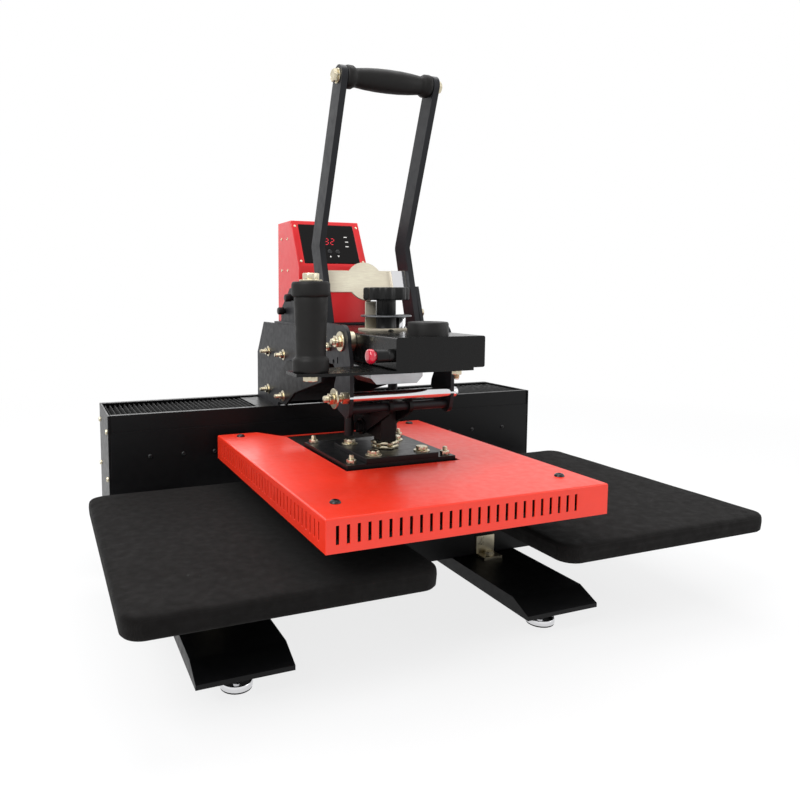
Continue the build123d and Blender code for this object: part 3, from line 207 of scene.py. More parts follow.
class MaterialBook:
    """Makes each material once and hands it out by finish."""

    def __init__(self) -> None:
        self._made: Dict[str, bpy.types.Material] = {}

    @staticmethod
    def add_node(tree: Tree, kind: str, inputs: Optional[dict] = None, **settings) -> Node:
        """Adds one shader node.

        Args:
            tree: the material's node tree.
            kind: the node's type name without its first word.
            inputs: socket name to a constant, or to the output socket that feeds it.
            settings: the node's own properties.

        Returns:
            The new node.
        """
        node = tree.nodes.new("ShaderNode" + kind)
        for name, value in settings.items():
            setattr(node, name, value)
        for name, value in (inputs or {}).items():
            if isinstance(value, Socket):
                tree.links.new(value, node.inputs[name])
            else:
                node.inputs[name].default_value = value
        return node

    def get(self, finish: Finish) -> bpy.types.Material:
        """The material for a finish, made on first use."""
        if finish.name not in self._made:
            self._made[finish.name] = self._make(finish)
        return self._made[finish.name]

    def _make(self, finish: Finish) -> bpy.types.Material:
        material = bpy.data.materials.new(finish.name)
        tree = fresh_tree(material)
        shader = self.add_node(tree, "BsdfPrincipled", {"Metallic": finish.metallic,
            "Specular IOR Level": finish.specular, "Coat Weight": finish.coat, "Coat Roughness": 0.12})
        self.add_node(tree, "OutputMaterial", {"Surface": shader.outputs["BSDF"]})
        place = self.add_node(tree, "TexCoord").outputs["Object"]
        if finish.kind is Kind.GLOW:
            self._glow(shader, finish)
            return material
        height = self._height(tree, place, finish)
        self._colour(tree, place, shader, finish, height)
        bump = self.add_node(tree, "Bump", {"Strength": min(finish.relief * 2.0, 1.0),
            "Distance": finish.grain * 0.3, "Height": height})
        tree.links.new(bump.outputs["Normal"], shader.inputs["Normal"])
        if finish.kind is Kind.CLOTH:
            shader.inputs["Sheen Weight"].default_value = 0.02
            shader.inputs["Sheen Roughness"].default_value = 0.6
        return material

    @staticmethod
    def _glow(shader: Node, finish: Finish) -> None:
        shader.inputs["Base Color"].default_value = srgb(finish.colour)
        shader.inputs["Emission Color"].default_value = srgb(finish.colour)
        shader.inputs["Emission Strength"].default_value = 0.9
        shader.inputs["Roughness"].default_value = finish.roughness

    def _noise(self, tree: Tree, place: Socket, size: float, detail: float = 3.0,
        stretch: Point = (1.0, 1.0, 1.0)) -> Socket:
        mapped = place
        if stretch != (1.0, 1.0, 1.0):
            mapped = self.add_node(tree, "Mapping", {"Vector": place, "Scale": stretch}).outputs["Vector"]
        noise = self.add_node(tree, "TexNoise", {"Vector": mapped, "Scale": 1.0 / size, "Detail": detail})
        return noise.outputs["Fac"]

    def _height(self, tree: Tree, place: Socket, finish: Finish) -> Socket:
        if finish.kind is Kind.CLOTH:
            return self._weave(tree, place, finish)
        if finish.kind is Kind.BRUSHED:
            return self._noise(tree, place, finish.grain, 4.0, (0.02, 1.0, 1.0))
        if finish.kind is Kind.WOOL:
            coarse = self._noise(tree, place, finish.grain * 5, 6.0)
            fine = self._noise(tree, place, finish.grain, 6.0, (0.2, 1.0, 1.0))
            return self.add_node(tree, "Math", {0: coarse, 1: fine}, operation="ADD").outputs[0]
        if finish.kind is Kind.POWDER:
            peel = self.add_node(tree, "TexVoronoi", {"Vector": place, "Scale": 1.0 / finish.grain},
                feature="SMOOTH_F1")
            peel.inputs["Smoothness"].default_value = 1.0
            return peel.outputs["Distance"]
        return self._noise(tree, place, finish.grain)

    def _weave(self, tree: Tree, place: Socket, finish: Finish) -> Socket:
        # Drawn about twice as coarse as the real cloth, so that the weave still shows at this distance
        threads = []
        for axis in ("X", "Y"):
            wave = self.add_node(tree, "TexWave", {"Vector": place, "Scale": 0.314 / finish.grain,
                "Distortion": 0.6, "Detail": 2.0}, wave_type="BANDS", bands_direction=axis)
            threads.append(wave.outputs["Fac"])
        return self.add_node(tree, "Math", {0: threads[0], 1: threads[1]}, operation="MULTIPLY").outputs[0]

    def _colour(self, tree: Tree, place: Socket, shader: Node, finish: Finish, height: Socket) -> None:
        spread = finish.variation
        cloudy = self._noise(tree, place, 0.07, 4.0)
        share = cloudy
        if finish.kind in (Kind.CLOTH, Kind.WOOL, Kind.BRUSHED):
            share = self.add_node(tree, "Math", {0: cloudy, 1: height}, operation="MULTIPLY").outputs[0]
            spread = 0.3
        ramp = self.add_node(tree, "ValToRGB", {"Fac": share})
        ramp.color_ramp.elements[0].color = shade(finish.colour, 1.0 - spread)
        ramp.color_ramp.elements[0].position = 0.2
        ramp.color_ramp.elements[1].color = shade(finish.colour, 1.0 + spread)
        ramp.color_ramp.elements[1].position = 0.75
        tree.links.new(ramp.outputs["Color"], shader.inputs["Base Color"])
        dull = self.add_node(tree, "MapRange", {"Value": self._noise(tree, place, 0.012, 5.0),
            "From Min": 0.3, "From Max": 0.7, "To Min": max(finish.roughness * 0.85, 0.04),
            "To Max": min(finish.roughness * 1.15, 1.0)})
        tree.links.new(dull.outputs["Result"], shader.inputs["Roughness"])


class Shape:
    """Vertices and faces that grow into one mesh piece, in metres."""

    def __init__(self) -> None:
        self.points: List[Point] = []
        self.faces: List[Tuple[int, ...]] = []
        self.marks: List[int] = []
        self.mark = 0

    def _add(self, points: Sequence[Sequence[float]], faces: Sequence[Sequence[int]]) -> None:
        base = len(self.points)
        self.points += [tuple(p) for p in points]
        self.faces += [tuple(i + base for i in face) for face in faces]
        self.marks += [self.mark] * len(faces)

    def rings(self, rings: Sequence[Sequence[Sequence[float]]], cap_start: bool = True,
        cap_end: bool = True) -> None:
        """Joins closed rings that have the same number of points, and caps the ends."""
        count = len(rings[0])
        points = [p for ring in rings for p in ring]
        faces = []
        for row in range(len(rings) - 1):
            for i in range(count):
                j = (i + 1) % count
                faces.append((row * count + i, row * count + j, (row + 1) * count + j, (row + 1) * count + i))
        if cap_start:
            faces.append(tuple(reversed(range(count))))
        if cap_end:
            faces.append(tuple((len(rings) - 1) * count + i for i in range(count)))
        self._add(points, faces)

    def lathe(self, origin: Point, axis: Point, profile: Profile, segments: int = 48,
        reach: Optional[Callable[[float, float], float]] = None) -> None:
        """Turns a profile of (radius, height along the axis) round the axis.

        Args:
            origin: where height zero lies.
            axis: the direction of growing height.
            profile: radii and heights in order, from one end to the other.
            segments: points round the circle.
            reach: changes a radius by its angle, for lobes and flats.
        """
        turn = Vector(UP).rotation_difference(Vector(axis)).to_matrix()
        start = Vector(origin)
        rings = []
        for radius, height in profile:
            ring = []
            for i in range(segments):
                angle = 2 * math.pi * i / segments
                r = reach(radius, angle) if reach else radius
                ring.append(start + turn @ Vector((r * math.cos(angle), r * math.sin(angle), height)))
            rings.append(ring)
        self.rings(rings)

    def hexagon(self, origin: Point, axis: Point, flats: float, height: float, washer: float = 0.0) -> None:
        """A hexagon head or nut with a turned chamfer, and a washer face under it."""
        a = flats / 2

        def six(radius: float, angle: float) -> float:
            within = (angle + math.pi / 6) % (math.pi / 3) - math.pi / 6
            return min(radius, a / math.cos(within)) if radius > a else radius

        corner = a / math.cos(math.pi / 6)
        rim = (corner - a) * 0.577
        base = washer
        if washer:
            self.lathe(origin, axis, [(a * 1.55, 0), (a * 1.6, washer * 0.2), (a * 1.6, washer * 0.8),
                (a * 1.55, washer)])
        profile = [(a * 0.97, base), (corner, base + rim), (corner, base + height - rim),
            (a * 0.97, base + height), (a * 0.8, base + height), (a * 0.78, base + height - 0.0002)]
        self.lathe(origin, axis, profile, 72, six)

    def washer(self, origin: Point, axis: Point, radius: float, thick: float, edge: float = 0.0004) -> None:
        """A turned disc with a small chamfer on both rims."""
        self.lathe(origin, axis, [(radius - edge, 0), (radius, edge), (radius, thick - edge),
            (radius - edge, thick)])

    def thread(self, origin: Point, axis: Point, radius: float, length: float, pitch: float = 0.0013) -> None:
        """A threaded end: closely turned grooves with a chamfered tip."""
        profile = [(radius * 0.9, 0.0)]
        turns = max(int(length / pitch) - 1, 1)
        for i in range(turns):
            profile += [(radius, (i + 0.5) * pitch), (radius * 0.86, (i + 1) * pitch)]
        profile += [(radius * 0.86, length - 0.0006), (radius * 0.7, length)]
        self.lathe(origin, axis, profile, 32)

    def extrusion(self, outline: Sequence[Sequence[float]], step: Sequence[float],
        bevel: float = 0.0) -> None:
        """Sweeps a flat closed outline by a step, with a small chamfer at both ends."""
        ring = [Vector(p) for p in outline]
        move = Vector(step)
        if bevel <= 0:
            self.rings([ring, [p + move for p in ring]])
            return
        way = move.normalized()
        middle = sum(ring, Vector()) / len(ring)
        inner = [p + (middle - p).normalized() * bevel for p in ring]
        self.rings([inner, [p + way * bevel for p in ring], [p + move - way * bevel for p in ring],
            [p + move for p in inner]])

    def build(self, name: str, finishes: Sequence[Finishes], book: MaterialBook,
        smooth: float = 40.0) -> Object:
        """Makes the object and links it to the scene.

        Args:
            name: the piece's name.
            finishes: one finish for each mark used, in order.
            book: where materials come from.
            smooth: edges flatter than this many degrees are shaded smooth.

        Returns:
            The new object.
        """
        mesh = bpy.data.meshes.new(name)
        mesh.from_pydata([tuple(p) for p in self.points], [], self.faces)
        for finish in finishes:
            mesh.materials.append(book.get(finish.value))
        mesh.polygons.foreach_set("material_index", self.marks)
        mesh.update()
        obj = link_new(name, mesh)
        mesh.shade_smooth()
        mesh.set_sharp_from_angle(angle=math.radians(smooth))
        LOG.info("piece %s, %d faces", name, len(self.faces))
        return obj


@dataclass
class Maker:
    """Builds pieces in materials from one book."""

    book: MaterialBook

    def place(self, shape: Shape, name: str, finishes: Sequence[Finishes], body: str, slot: str, *nodes: str,
        smooth: float = 40.0) -> Object:
        """Builds a piece, lets it ride on a body and hides the CAD nodes it stands for."""
        obj = shape.build(name, finishes, self.book, smooth)
        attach(obj, body)
        if nodes:
            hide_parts(*nodes)
        return obj


@dataclass
class CadDress:
    """Finishes and edge softening for the CAD nodes that stay visible."""

    book: MaterialBook
    weld: float = 0.00001

    def dress(self, node: str, finish: Finish, edge: float) -> None:
        """Assigns a material to a node and rounds its edges.

        Args:
            node: the CAD node's name.
            finish: what it is made of.
            edge: the width of the rounded edge in metres, or zero for none.
        """
        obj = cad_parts[node]
        obj.data.materials.clear()
        obj.data.materials.append(self.book.get(finish))
        LOG.info("dressed %s in %s", node, finish.name)
        if edge <= 0:
            return
        if "custom_normal" in obj.data.attributes:
            obj.data.attributes.remove(obj.data.attributes["custom_normal"])
        obj.data.shade_smooth()
        weld = obj.modifiers.new("join_seams", "WELD")
        weld.merge_threshold = self.weld
        bevel = obj.modifiers.new("soft_edges", "BEVEL")
        bevel.width = edge
        bevel.segments = 2
        bevel.limit_method = "ANGLE"
        bevel.angle_limit = math.radians(38)
        bevel.use_clamp_overlap = True
        normals = obj.modifiers.new("flat_faces", "WEIGHTED_NORMAL")
        normals.keep_sharp = False
        normals.weight = 60


@dataclass
class Platens(Maker):
    """The two soft covered lower platens."""

    width: float = 0.4
    depth: float = 0.5
    corner: float = 0.028
    top: float = 0.1641
    bottom: float = 0.136
    hem: float = 0.034
    centre_x: float = 0.2975
    around: int = 40

    def _outline(self, inset: float, z: float, centre: float, wave: float = 0.0) -> List[Point]:
        half_x = self.width / 2 - inset
        half_y = self.depth / 2 - inset
        radius = max(self.corner - inset, 0.004)
        ring = []
        corners = ((1, 1, 0), (-1, 1, 90), (-1, -1, 180), (1, -1, 270))
        for number, (sx, sy, start) in enumerate(corners):
            cx, cy = sx * (half_x - radius), sy * (half_y - radius)
            for i in range(13):
                angle = math.radians(start + 90 * i / 12)
                ring.append((cx + radius * math.cos(angle), cy + radius * math.sin(angle)))
            nsx, nsy, nstart = corners[(number + 1) % 4]
            ex = nsx * (half_x - radius) + radius * math.cos(math.radians(nstart))
            ey = nsy * (half_y - radius) + radius * math.sin(math.radians(nstart))
            px, py = ring[-1]
            for i in range(1, self.around):
                share = i / self.around
                ring.append((px + (ex - px) * share, py + (ey - py) * share))
        placed = []
        for x, y in ring:
            ripple = wave * (math.sin(x * 61 + centre * 9) + math.sin(y * 47 + centre * 5)) * 0.5
            placed.append((centre + x, HEAD_Y + y, z + ripple))
        return placed

    def _cover(self, name: str, side: int, node: str) -> None:
        centre = side * self.centre_x
        hem, low, top = self.hem, self.bottom, self.top
        steps = [(hem, low + 0.0013, 0), (hem, low, 0), (0.01, low, 0), (0.0035, low + 0.0008, 0),
            (0.001, low + 0.0035, 0), (0.0004, low + 0.01, 0), (0.0, low + 0.016, 0),
            (0.0004, top - 0.0065, 0.0002), (0.0014, top - 0.0034, 0.0003), (0.0034, top - 0.0014, 0.0003),
            (0.0066, top - 0.0004, 0.0003), (0.012, top, 0.0003), (0.03, top + 0.0003, 0.0004),
            (0.08, top + 0.0004, 0.0005), (0.14, top + 0.0004, 0.0005), (0.19, top + 0.0004, 0.0002)]
        shape = Shape()
        shape.rings([self._outline(inset, z, centre, wave) for inset, z, wave in steps], cap_start=False)
        obj = self.place(shape, name, [Finishes.PAD], "base", "pad_cloth", node, smooth=60)

    def _lint(self) -> None:
        shape = Shape()
        for x, y, size in ((-0.405, -0.255, 0.0021), (-0.392, -0.262, 0.0013), (-0.42, -0.24, 0.0012),
            (-0.345, -0.29, 0.001), (0.33, -0.21, 0.0011)):
            shape.lathe((x, y, self.top + 0.0004), UP, [(size, 0), (size * 0.8, 0.0004),
                (size * 0.3, 0.0007)], 9)
        self.place(shape, "platen_lint", [Finishes.GRIP], "base", "pad_cloth")

    def make(self) -> None:
        """Builds both covers and the few specks of lint on them."""
        self._cover("left_platen_cloth", -1, "left_platen_cover")
        self._cover("right_platen_cloth", 1, "right_platen_cover")
        self._lint()


@dataclass
class Bellows(Maker):
    """The pleated covers of the rail slot."""

    wall: float = 0.4527
    carriage: float = 0.1163
    pleats: int = 30
    y0: float = 0.206
    y1: float = 0.347
    top: float = 0.2893
    depth: float = 0.012
    sheet: float = 0.0008

    def _pleats(self, name: str, x0: float, x1: float, node: str, fixed: float, moving: float) -> None:
        step = (x1 - x0) / self.pleats
        line = []
        for i in range(self.pleats):
            left = x0 + step * i
            line += [(left, -1.0), (left + step * 0.1, -0.97), (left + step * 0.42, -0.06),
                (left + step * 0.5, 0.0), (left + step * 0.58, -0.06), (left + step * 0.9, -0.97)]
        line.append((x1, -1.0))
        upper = [(x, self.top + share * self.depth) for x, share in line]
        lower = [(x, z - self.sheet * 1.5) for x, z in reversed(upper)]
        rings = []
        for y, drop in ((self.y0, 0.0015), (self.y0 + 0.003, 0.0), (self.y1 - 0.003, 0.0), (self.y1, 0.0015)):
            rings.append([(x, y, z - drop) for x, z in upper + lower])
        shape = Shape()
        shape.rings(rings)
        obj = shape.build(name, [Finishes.BELLOWS], self.book, 30)
        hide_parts(node)
        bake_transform(obj, "base", "carriage", start=(fixed, 0, 0), end=(moving, 0, 0))
        attribute = obj.data.attributes["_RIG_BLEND"]
        for index, vertex in enumerate(obj.data.vertices):
            attribute.data[index].value = min(max((vertex.co.x - fixed) / (moving - fixed), 0.0), 1.0)

    def make(self) -> None:
        """Builds both bellows, each fixed at the end plate and moving with the carriage."""
        left = HEAD_X - self.carriage
        right = HEAD_X + self.carriage
        self._pleats("left_bellows_pleats", -self.wall, left, "left_bellows", -self.wall, left)
        self._pleats("right_bellows_pleats", right, self.wall, "right_bellows", self.wall, right)


@dataclass
class Feet(Maker):
    """The four levelling feet."""

    radius: float = 0.022

    def make(self) -> None:
        """Builds each foot as rubber pad, chromed disc, lock nut and threaded stem."""
        places = {"foot_fl": ("foot_front_left", -0.342, -0.24),
            "foot_fr": ("foot_front_right", 0.146, -0.24),
            "foot_rl": ("foot_rear_left", -0.342, 0.321),
            "foot_rr": ("foot_rear_right", 0.146, 0.321)}
        r = self.radius
        for body, (node, x, y) in places.items():
            shape = Shape()
            shape.lathe((x, y, 0), UP, [(0, 0), (r - 0.0022, 0), (r - 0.001, 0.0004), (r - 0.0006, 0.0021)])
            shape.mark = 1
            shape.lathe((x, y, 0.0021), UP, [(r - 0.0012, 0), (r - 0.0002, 0.0006), (r, 0.0016), (r, 0.0066),
                (r - 0.0008, 0.008), (r - 0.003, 0.0088), (0.0135, 0.0096), (0.0125, 0.0099),
                (0.006, 0.0099)])
            shape.hexagon((x, y, 0.012), UP, 0.019, 0.009)
            shape.thread((x, y, 0.021), UP, 0.006, 0.029, 0.00175)
            self.place(shape, node + "_turned", [Finishes.FOOT_RUBBER, Finishes.CHROME], body, "chrome", node)


@dataclass
class Fasteners(Maker):
    """Bolts, nuts and screws, each chamfered and threaded."""

    column: float = 0.076
    gusset: float = 0.005
    bar_face: float = 0.083
    plate_face: float = 0.089
    axle_at: Pair = (-0.128, 0.439)
    rod_at: Pair = (-0.153, 0.357)
    handle_at: Pair = (-0.099, 0.833)

    def housing(self) -> None:
        """Button heads on the housing's front and cap screws on its end plates."""
        shape = Shape()
        for x in (-0.384, -0.323, -0.264, 0.251, 0.308, 0.387):
            shape.lathe((x, 0.192, 0.2145), (0, -1, 0), [(0.004, 0), (0.0038, 0.0012), (0.0028, 0.0021),
                (0.0016, 0.0024), (0.0015, 0.0012)], 24)
        shape.mark = 1
        for side in (-1, 1):
            for z in (0.095, 0.175, 0.262):
                for y in (0.206, 0.347):
                    start = (side * 0.457, y, z)
                    shape.lathe(start, (side, 0, 0), [(0.0045, 0), (0.0045, 0.0026), (0.004, 0.0033),
                        (0.0026, 0.0035), (0.0024, 0.0016)], 24)
        finishes = [Finishes.BUTTON, Finishes.ZINC]
        self.place(shape, "housing_screw_heads", finishes, "base", "zinc", "housing_screws")

    def column_bolts(self) -> None:
        """The long bolts through the column and the one through the side grip."""
        shape = Shape()
        for y, z in ((0.268, 0.3935), (0.175, 0.3935), (0.27, 0.316), (0.164, 0.316)):
            for side in (-1, 1):
                reach = self.column + (self.gusset if y < 0.185 and z < 0.358 else 0)
                x = HEAD_X + side * reach
                shape.hexagon((x, y, z), (side, 0, 0), 0.013, 0.0058, 0.0012)
                shape.thread((x + side * 0.007, y, z), (side, 0, 0), 0.004, 0.011, 0.00125)
        x, y = SIDE_GRIP
        shape.lathe((x, y, 0.526), UP, [(0.0148, 0), (0.015, 0.0004), (0.015, 0.0021), (0.0146, 0.0025),
            (0.005, 0.0025)])
        shape.hexagon((x, y, 0.5285), UP, 0.019, 0.0085)
        shape.hexagon((x, y, ARM_UNDERSIDE), DOWN, 0.019, 0.008)
        shape.hexagon((HEAD_X + 0.036, -0.249, ARM_UNDERSIDE), DOWN, 0.013, 0.007)
        shape.thread((HEAD_X + 0.036, -0.249, 0.397), DOWN, 0.004, 0.007, 0.00125)
        self.place(shape, "carriage_bolt_set", [Finishes.ZINC], "carriage", "zinc", "carriage_bolts")

    def head(self) -> None:
        """The large nut under the ram and the bolts of both mounting plates."""
        shape = Shape()
        shape.hexagon((HEAD_X, HEAD_Y, 0.265), UP, 0.039, 0.0057)
        shape.hexagon((HEAD_X, HEAD_Y, 0.2709), UP, 0.0386, 0.0059)
        for dx in (-0.042, 0.042):
            for dy in (-0.044, 0.044):
                spot = (HEAD_X + dx, HEAD_Y + dy, 0.265)
                shape.hexagon(spot, UP, 0.016, 0.0062, 0.0018)
        for dx in (-0.081, 0.081):
            for y in (-0.15, 0.005):
                spot = (HEAD_X + dx, y, 0.257)
                shape.hexagon(spot, UP, 0.013, 0.0065)
                shape.thread((spot[0], spot[1], 0.2635), UP, 0.004, 0.0065, 0.00125)
        self.place(shape, "head_bolt_set", [Finishes.ZINC], "press_head", "zinc", "head_fasteners")

    def cover(self) -> None:
        """Black socket button heads on the head cover."""
        shape = Shape()
        for dx in (-0.174, 0.174):
            for y in (-0.305, 0.131):
                start = (HEAD_X + dx, y, COVER_TOP)
                profile = [(0.0072, 0), (0.0074, 0.0005), (0.0066, 0.0022), (0.0048, 0.0036), (0.003, 0.0041),
                    (0.0024, 0.0041), (0.0023, 0.002)]
                shape.lathe(start, UP, profile, 32)
                shape.lathe((start[0], y, 0.221), UP, [(0.005, 0), (0.005, 0.028)], 24)
        self.place(shape, "cover_screw_heads", [Finishes.BUTTON], "press_head", "button_plastic",
            "cover_screws")

    def axle(self) -> None:
        """The lever's axle with its collars, washers, nuts and threaded ends."""
        shape = Shape()
        y, z = self.axle_at
        end = self.plate_face
        shape.lathe((HEAD_X - end, y, z), RIGHT, [(0.008, 0), (0.008, 2 * end)])
        for side in (-1, 1):
            way = (side, 0, 0)
            shape.washer((HEAD_X + side * 0.0703, y, z), way, 0.015, 0.0124)
            shape.washer((HEAD_X + side * 0.0893, y, z), way, 0.015, 0.0025)
            shape.hexagon((HEAD_X + side * 0.0918, y, z), way, 0.017, 0.008)
            shape.thread((HEAD_X + side * 0.0998, y, z), way, 0.005, 0.0062, 0.0013)
        self.place(shape, "lever_axle_set", [Finishes.ZINC], "carriage", "zinc", "lever_axle")

    def knee(self) -> None:
        """The polished rod between the lower plates: a long stud at the left, a cap nut at the right."""
        shape = Shape()
        y, z = self.rod_at
        end = self.plate_face
        shape.lathe((HEAD_X - end, y, z), RIGHT, [(0.008, 0), (0.008, 2 * end)])
        shape.lathe((HEAD_X + end, y, z), RIGHT, [(0.008, 0), (0.008, 0.005), (0.0074, 0.0075),
            (0.0058, 0.0092), (0.003, 0.01)], 32)
        shape.mark = 1
        left = (-1, 0, 0)
        shape.hexagon((HEAD_X - end, y, z), left, 0.016, 0.01)
        shape.thread((HEAD_X - 0.099, y, z), left, 0.005, 0.029, 0.0013)
        shape.washer((HEAD_X - 0.1095, y, z), left, 0.015, 0.0025)
        shape.hexagon((HEAD_X - 0.112, y, z), left, 0.015, 0.008)
        self.place(shape, "knee_rod_set", [Finishes.CHROME, Finishes.ZINC], "lever", "chrome", "knee_rod")

    def handle(self) -> None:
        """The bolts at both ends of the top grip and the bolts of the lower plates."""
        shape = Shape()
        y, z = self.handle_at
        end = self.bar_face
        shape.lathe((HEAD_X - end, y, z), RIGHT, [(0.006, 0), (0.006, 2 * end)], 32)
        for side in (-1, 1):
            way = (side, 0, 0)
            shape.lathe((HEAD_X + side * end, y, z), way, [(0.0108, 0), (0.011, 0.0003), (0.011, 0.0017),
                (0.0108, 0.002)])
            shape.hexagon((HEAD_X + side * 0.085, y, z), way, 0.017, 0.007)
            for spot in ((-0.05, 0.478), (-0.084, 0.428)):
                shape.hexagon((HEAD_X + side * self.plate_face, *spot), way, 0.013, 0.006)
            shape.thread((HEAD_X + side * 0.095, -0.084, 0.428), way, 0.004, 0.008, 0.00125)
        self.place(shape, "handle_bolt_set", [Finishes.ZINC], "lever", "zinc", "handle_fasteners")

    def brace_clamp(self) -> None:
        """The polished block that clamps the brace to the right bar of the lever."""
        along = Vector((0, 0.3026, 0.9531))
        out = Vector((0, -0.9531, 0.3026))
        middle = Vector((HEAD_X, -0.025, 0.53)) - out * 0.0012
        corners = rectangle(0.0466, 0.0729, -0.0132, 0.0172)
        shape = Shape()
        shape.extrusion([middle + Vector((x, 0, 0)) + along * up for x, up in corners], out * 0.0086, 0.0009)
        self.place(shape, "brace_clamp_block", [Finishes.CHROME], "lever", "chrome")

    def make(self) -> None:
        """Builds every set."""
        self.housing()
        self.column_bolts()
        self.head()
        self.cover()
        self.axle()
        self.knee()
        self.handle()
        self.brace_clamp()


class Grips(Maker):
    """The moulded grips and knobs."""

    def top_grip(self) -> None:
        """The grip across the lever, swelling in the middle between two collars."""
        half = 0.0725
        profile = [(0.0064, -half), (0.014, -half), (0.0164, -half + 0.0012), (0.0172, -half + 0.004),
            (0.017, -half + 0.011), (0.015, -half + 0.0145), (0.0138, -half + 0.017), (0.0142, -half + 0.021),
            (0.0158, -0.038), (0.017, -0.02), (0.0174, 0.0)]
        profile += [(r, -h) for r, h in reversed(profile[:-1])]
        shape = Shape()
        shape.lathe((HEAD_X, -0.099, 0.833), RIGHT, profile, 64)
        self.place(shape, "handle_grip_rubber", [Finishes.GRIP], "lever", "grip_rubber", "handle_grip",
            smooth=50)

    def side_grip(self) -> None:
        """The upright grip at the left with a collar at each end."""
        profile = [(0.004, 0), (0.0226, 0), (0.0236, 0.0012), (0.0241, 0.004), (0.0241, 0.015),
            (0.0234, 0.0176), (0.0214, 0.0196), (0.02, 0.0214), (0.0199, 0.023), (0.0202, 0.04),
            (0.0206, 0.055), (0.0214, 0.075), (0.0219, 0.09), (0.022, 0.0965), (0.0216, 0.0978),
            (0.0238, 0.0992), (0.025, 0.1012), (0.0254, 0.104), (0.0254, 0.114), (0.0246, 0.1168),
            (0.0228, 0.118), (0.01, 0.118)]
        shape = Shape()
        shape.lathe((*SIDE_GRIP, 0.408), UP, profile, 72)
        self.place(shape, "side_grip_rubber", [Finishes.GRIP], "carriage", "grip_rubber", "side_grip",
            smooth=50)

    def star_knob(self) -> None:
        """The lobed pressure knob with its ribbed hub."""

        def lobes(radius: float, angle: float) -> float:
            if radius < 0.027:
                return radius
            dip = 0.5 + 0.5 * math.cos(8 * angle)
            return radius - 0.005 * dip ** 1.6

        def ribs(radius: float, angle: float) -> float:
            return radius - 0.0005 * (0.5 + 0.5 * math.cos(24 * angle))

        shape = Shape()
        place = (HEAD_X, HEAD_Y, 0.0)
        shape.lathe(place, UP, [(0.015, 0.4773), (0.0155, 0.478), (0.0153, 0.5)], 96, ribs)
        shape.lathe(place, UP, [(0.0266, 0.5), (0.034, 0.5001), (0.0356, 0.5012), (0.036, 0.503),
            (0.036, 0.5168), (0.0354, 0.5188), (0.0338, 0.5199), (0.027, 0.52), (0.015, 0.5194),
            (0.01, 0.5196), (0.006, 0.5199)], 128, lobes)
        self.place(shape, "pressure_star_knob", [Finishes.PLASTIC], "pressure_knob", "black_plastic",
            "pressure_knob")

    def clamp_knobs(self) -> None:
        """Four small fluted knobs at the control box."""

        def flutes(radius: float, angle: float) -> float:
            return radius - 0.0005 * (0.5 + 0.5 * math.cos(16 * angle)) if radius > 0.006 else radius

        shape = Shape()
        for y, z in ((0.176, 0.477), (0.136, 0.502)):
            for side in (-1, 1):
                profile = [(0.005, 0), (0.005, 0.002), (0.0066, 0.003), (0.007, 0.004), (0.007, 0.0125),
                    (0.0062, 0.0145), (0.004, 0.015)]
                shape.lathe((HEAD_X + side * 0.0718, y, z), (side, 0, 0), profile, 64, flutes)
        self.place(shape, "clamp_knob_set", [Finishes.PLASTIC], "carriage", "black_plastic", "clamp_knobs")

    def dial(self) -> None:
        """The collar, disc, spindle, pin and flat bracket under the knob."""
        shape = Shape()
        x, y = HEAD_X, HEAD_Y
        shape.lathe((x, y, ARM_TOP), UP, [(0.0175, 0), (0.0178, 0.001), (0.0165, 0.004), (0.016, 0.005),
            (0.016, 0.022)])
        shape.lathe((x, y, 0.4772), UP, [(0.008, 0), (0.008, 0.0328)], 32)
        shape.mark = 1
        shape.lathe((x, y, 0.474), UP, [(0.016, 0), (0.0392, 0), (0.04, 0.0006), (0.04, 0.0024),
            (0.0392, 0.003), (0.008, 0.003)], 96)
        shape.mark = 2
        shape.lathe((x + 0.026, y, ARM_TOP), UP, [(0.008, 0), (0.008, 0.0195), (0.0074, 0.0205),
            (0.0074, 0.022)], 40)
        shape.mark = 3
        outline = [(*spot, ARM_TOP) for spot in rectangle(x - 0.038, x + 0.03, y - 0.017, y + 0.022)]
        shape.extrusion(outline, (0, 0, 0.004), 0.0005)
        strip = [(*spot, 0.4555) for spot in rectangle(x - 0.026, x - 0.008, y + 0.019, y + 0.022)]
        shape.extrusion(strip, (0, 0, 0.0425), 0.0004)
        finishes = [Finishes.PLASTIC, Finishes.STEEL, Finishes.CHROME, Finishes.STAINLESS]
        self.place(shape, "pressure_dial_set", finishes, "carriage", "chrome", "pressure_dial")

    def puck(self) -> None:
        """The round puck at the front of the arm."""
        shape = Shape()
        profile = [(0.029, 0), (0.029, 0.016), (0.0284, 0.0178), (0.027, 0.0188), (0.025, 0.019),
            (0.006, 0.019), (0.0052, 0.0184), (0.0034, 0.0184)]
        shape.lathe((HEAD_X, -0.229, ARM_TOP), UP, profile, 72)
        self.place(shape, "arm_puck_cast", [Finishes.PUCK], "carriage", "black_plastic", "arm_puck")

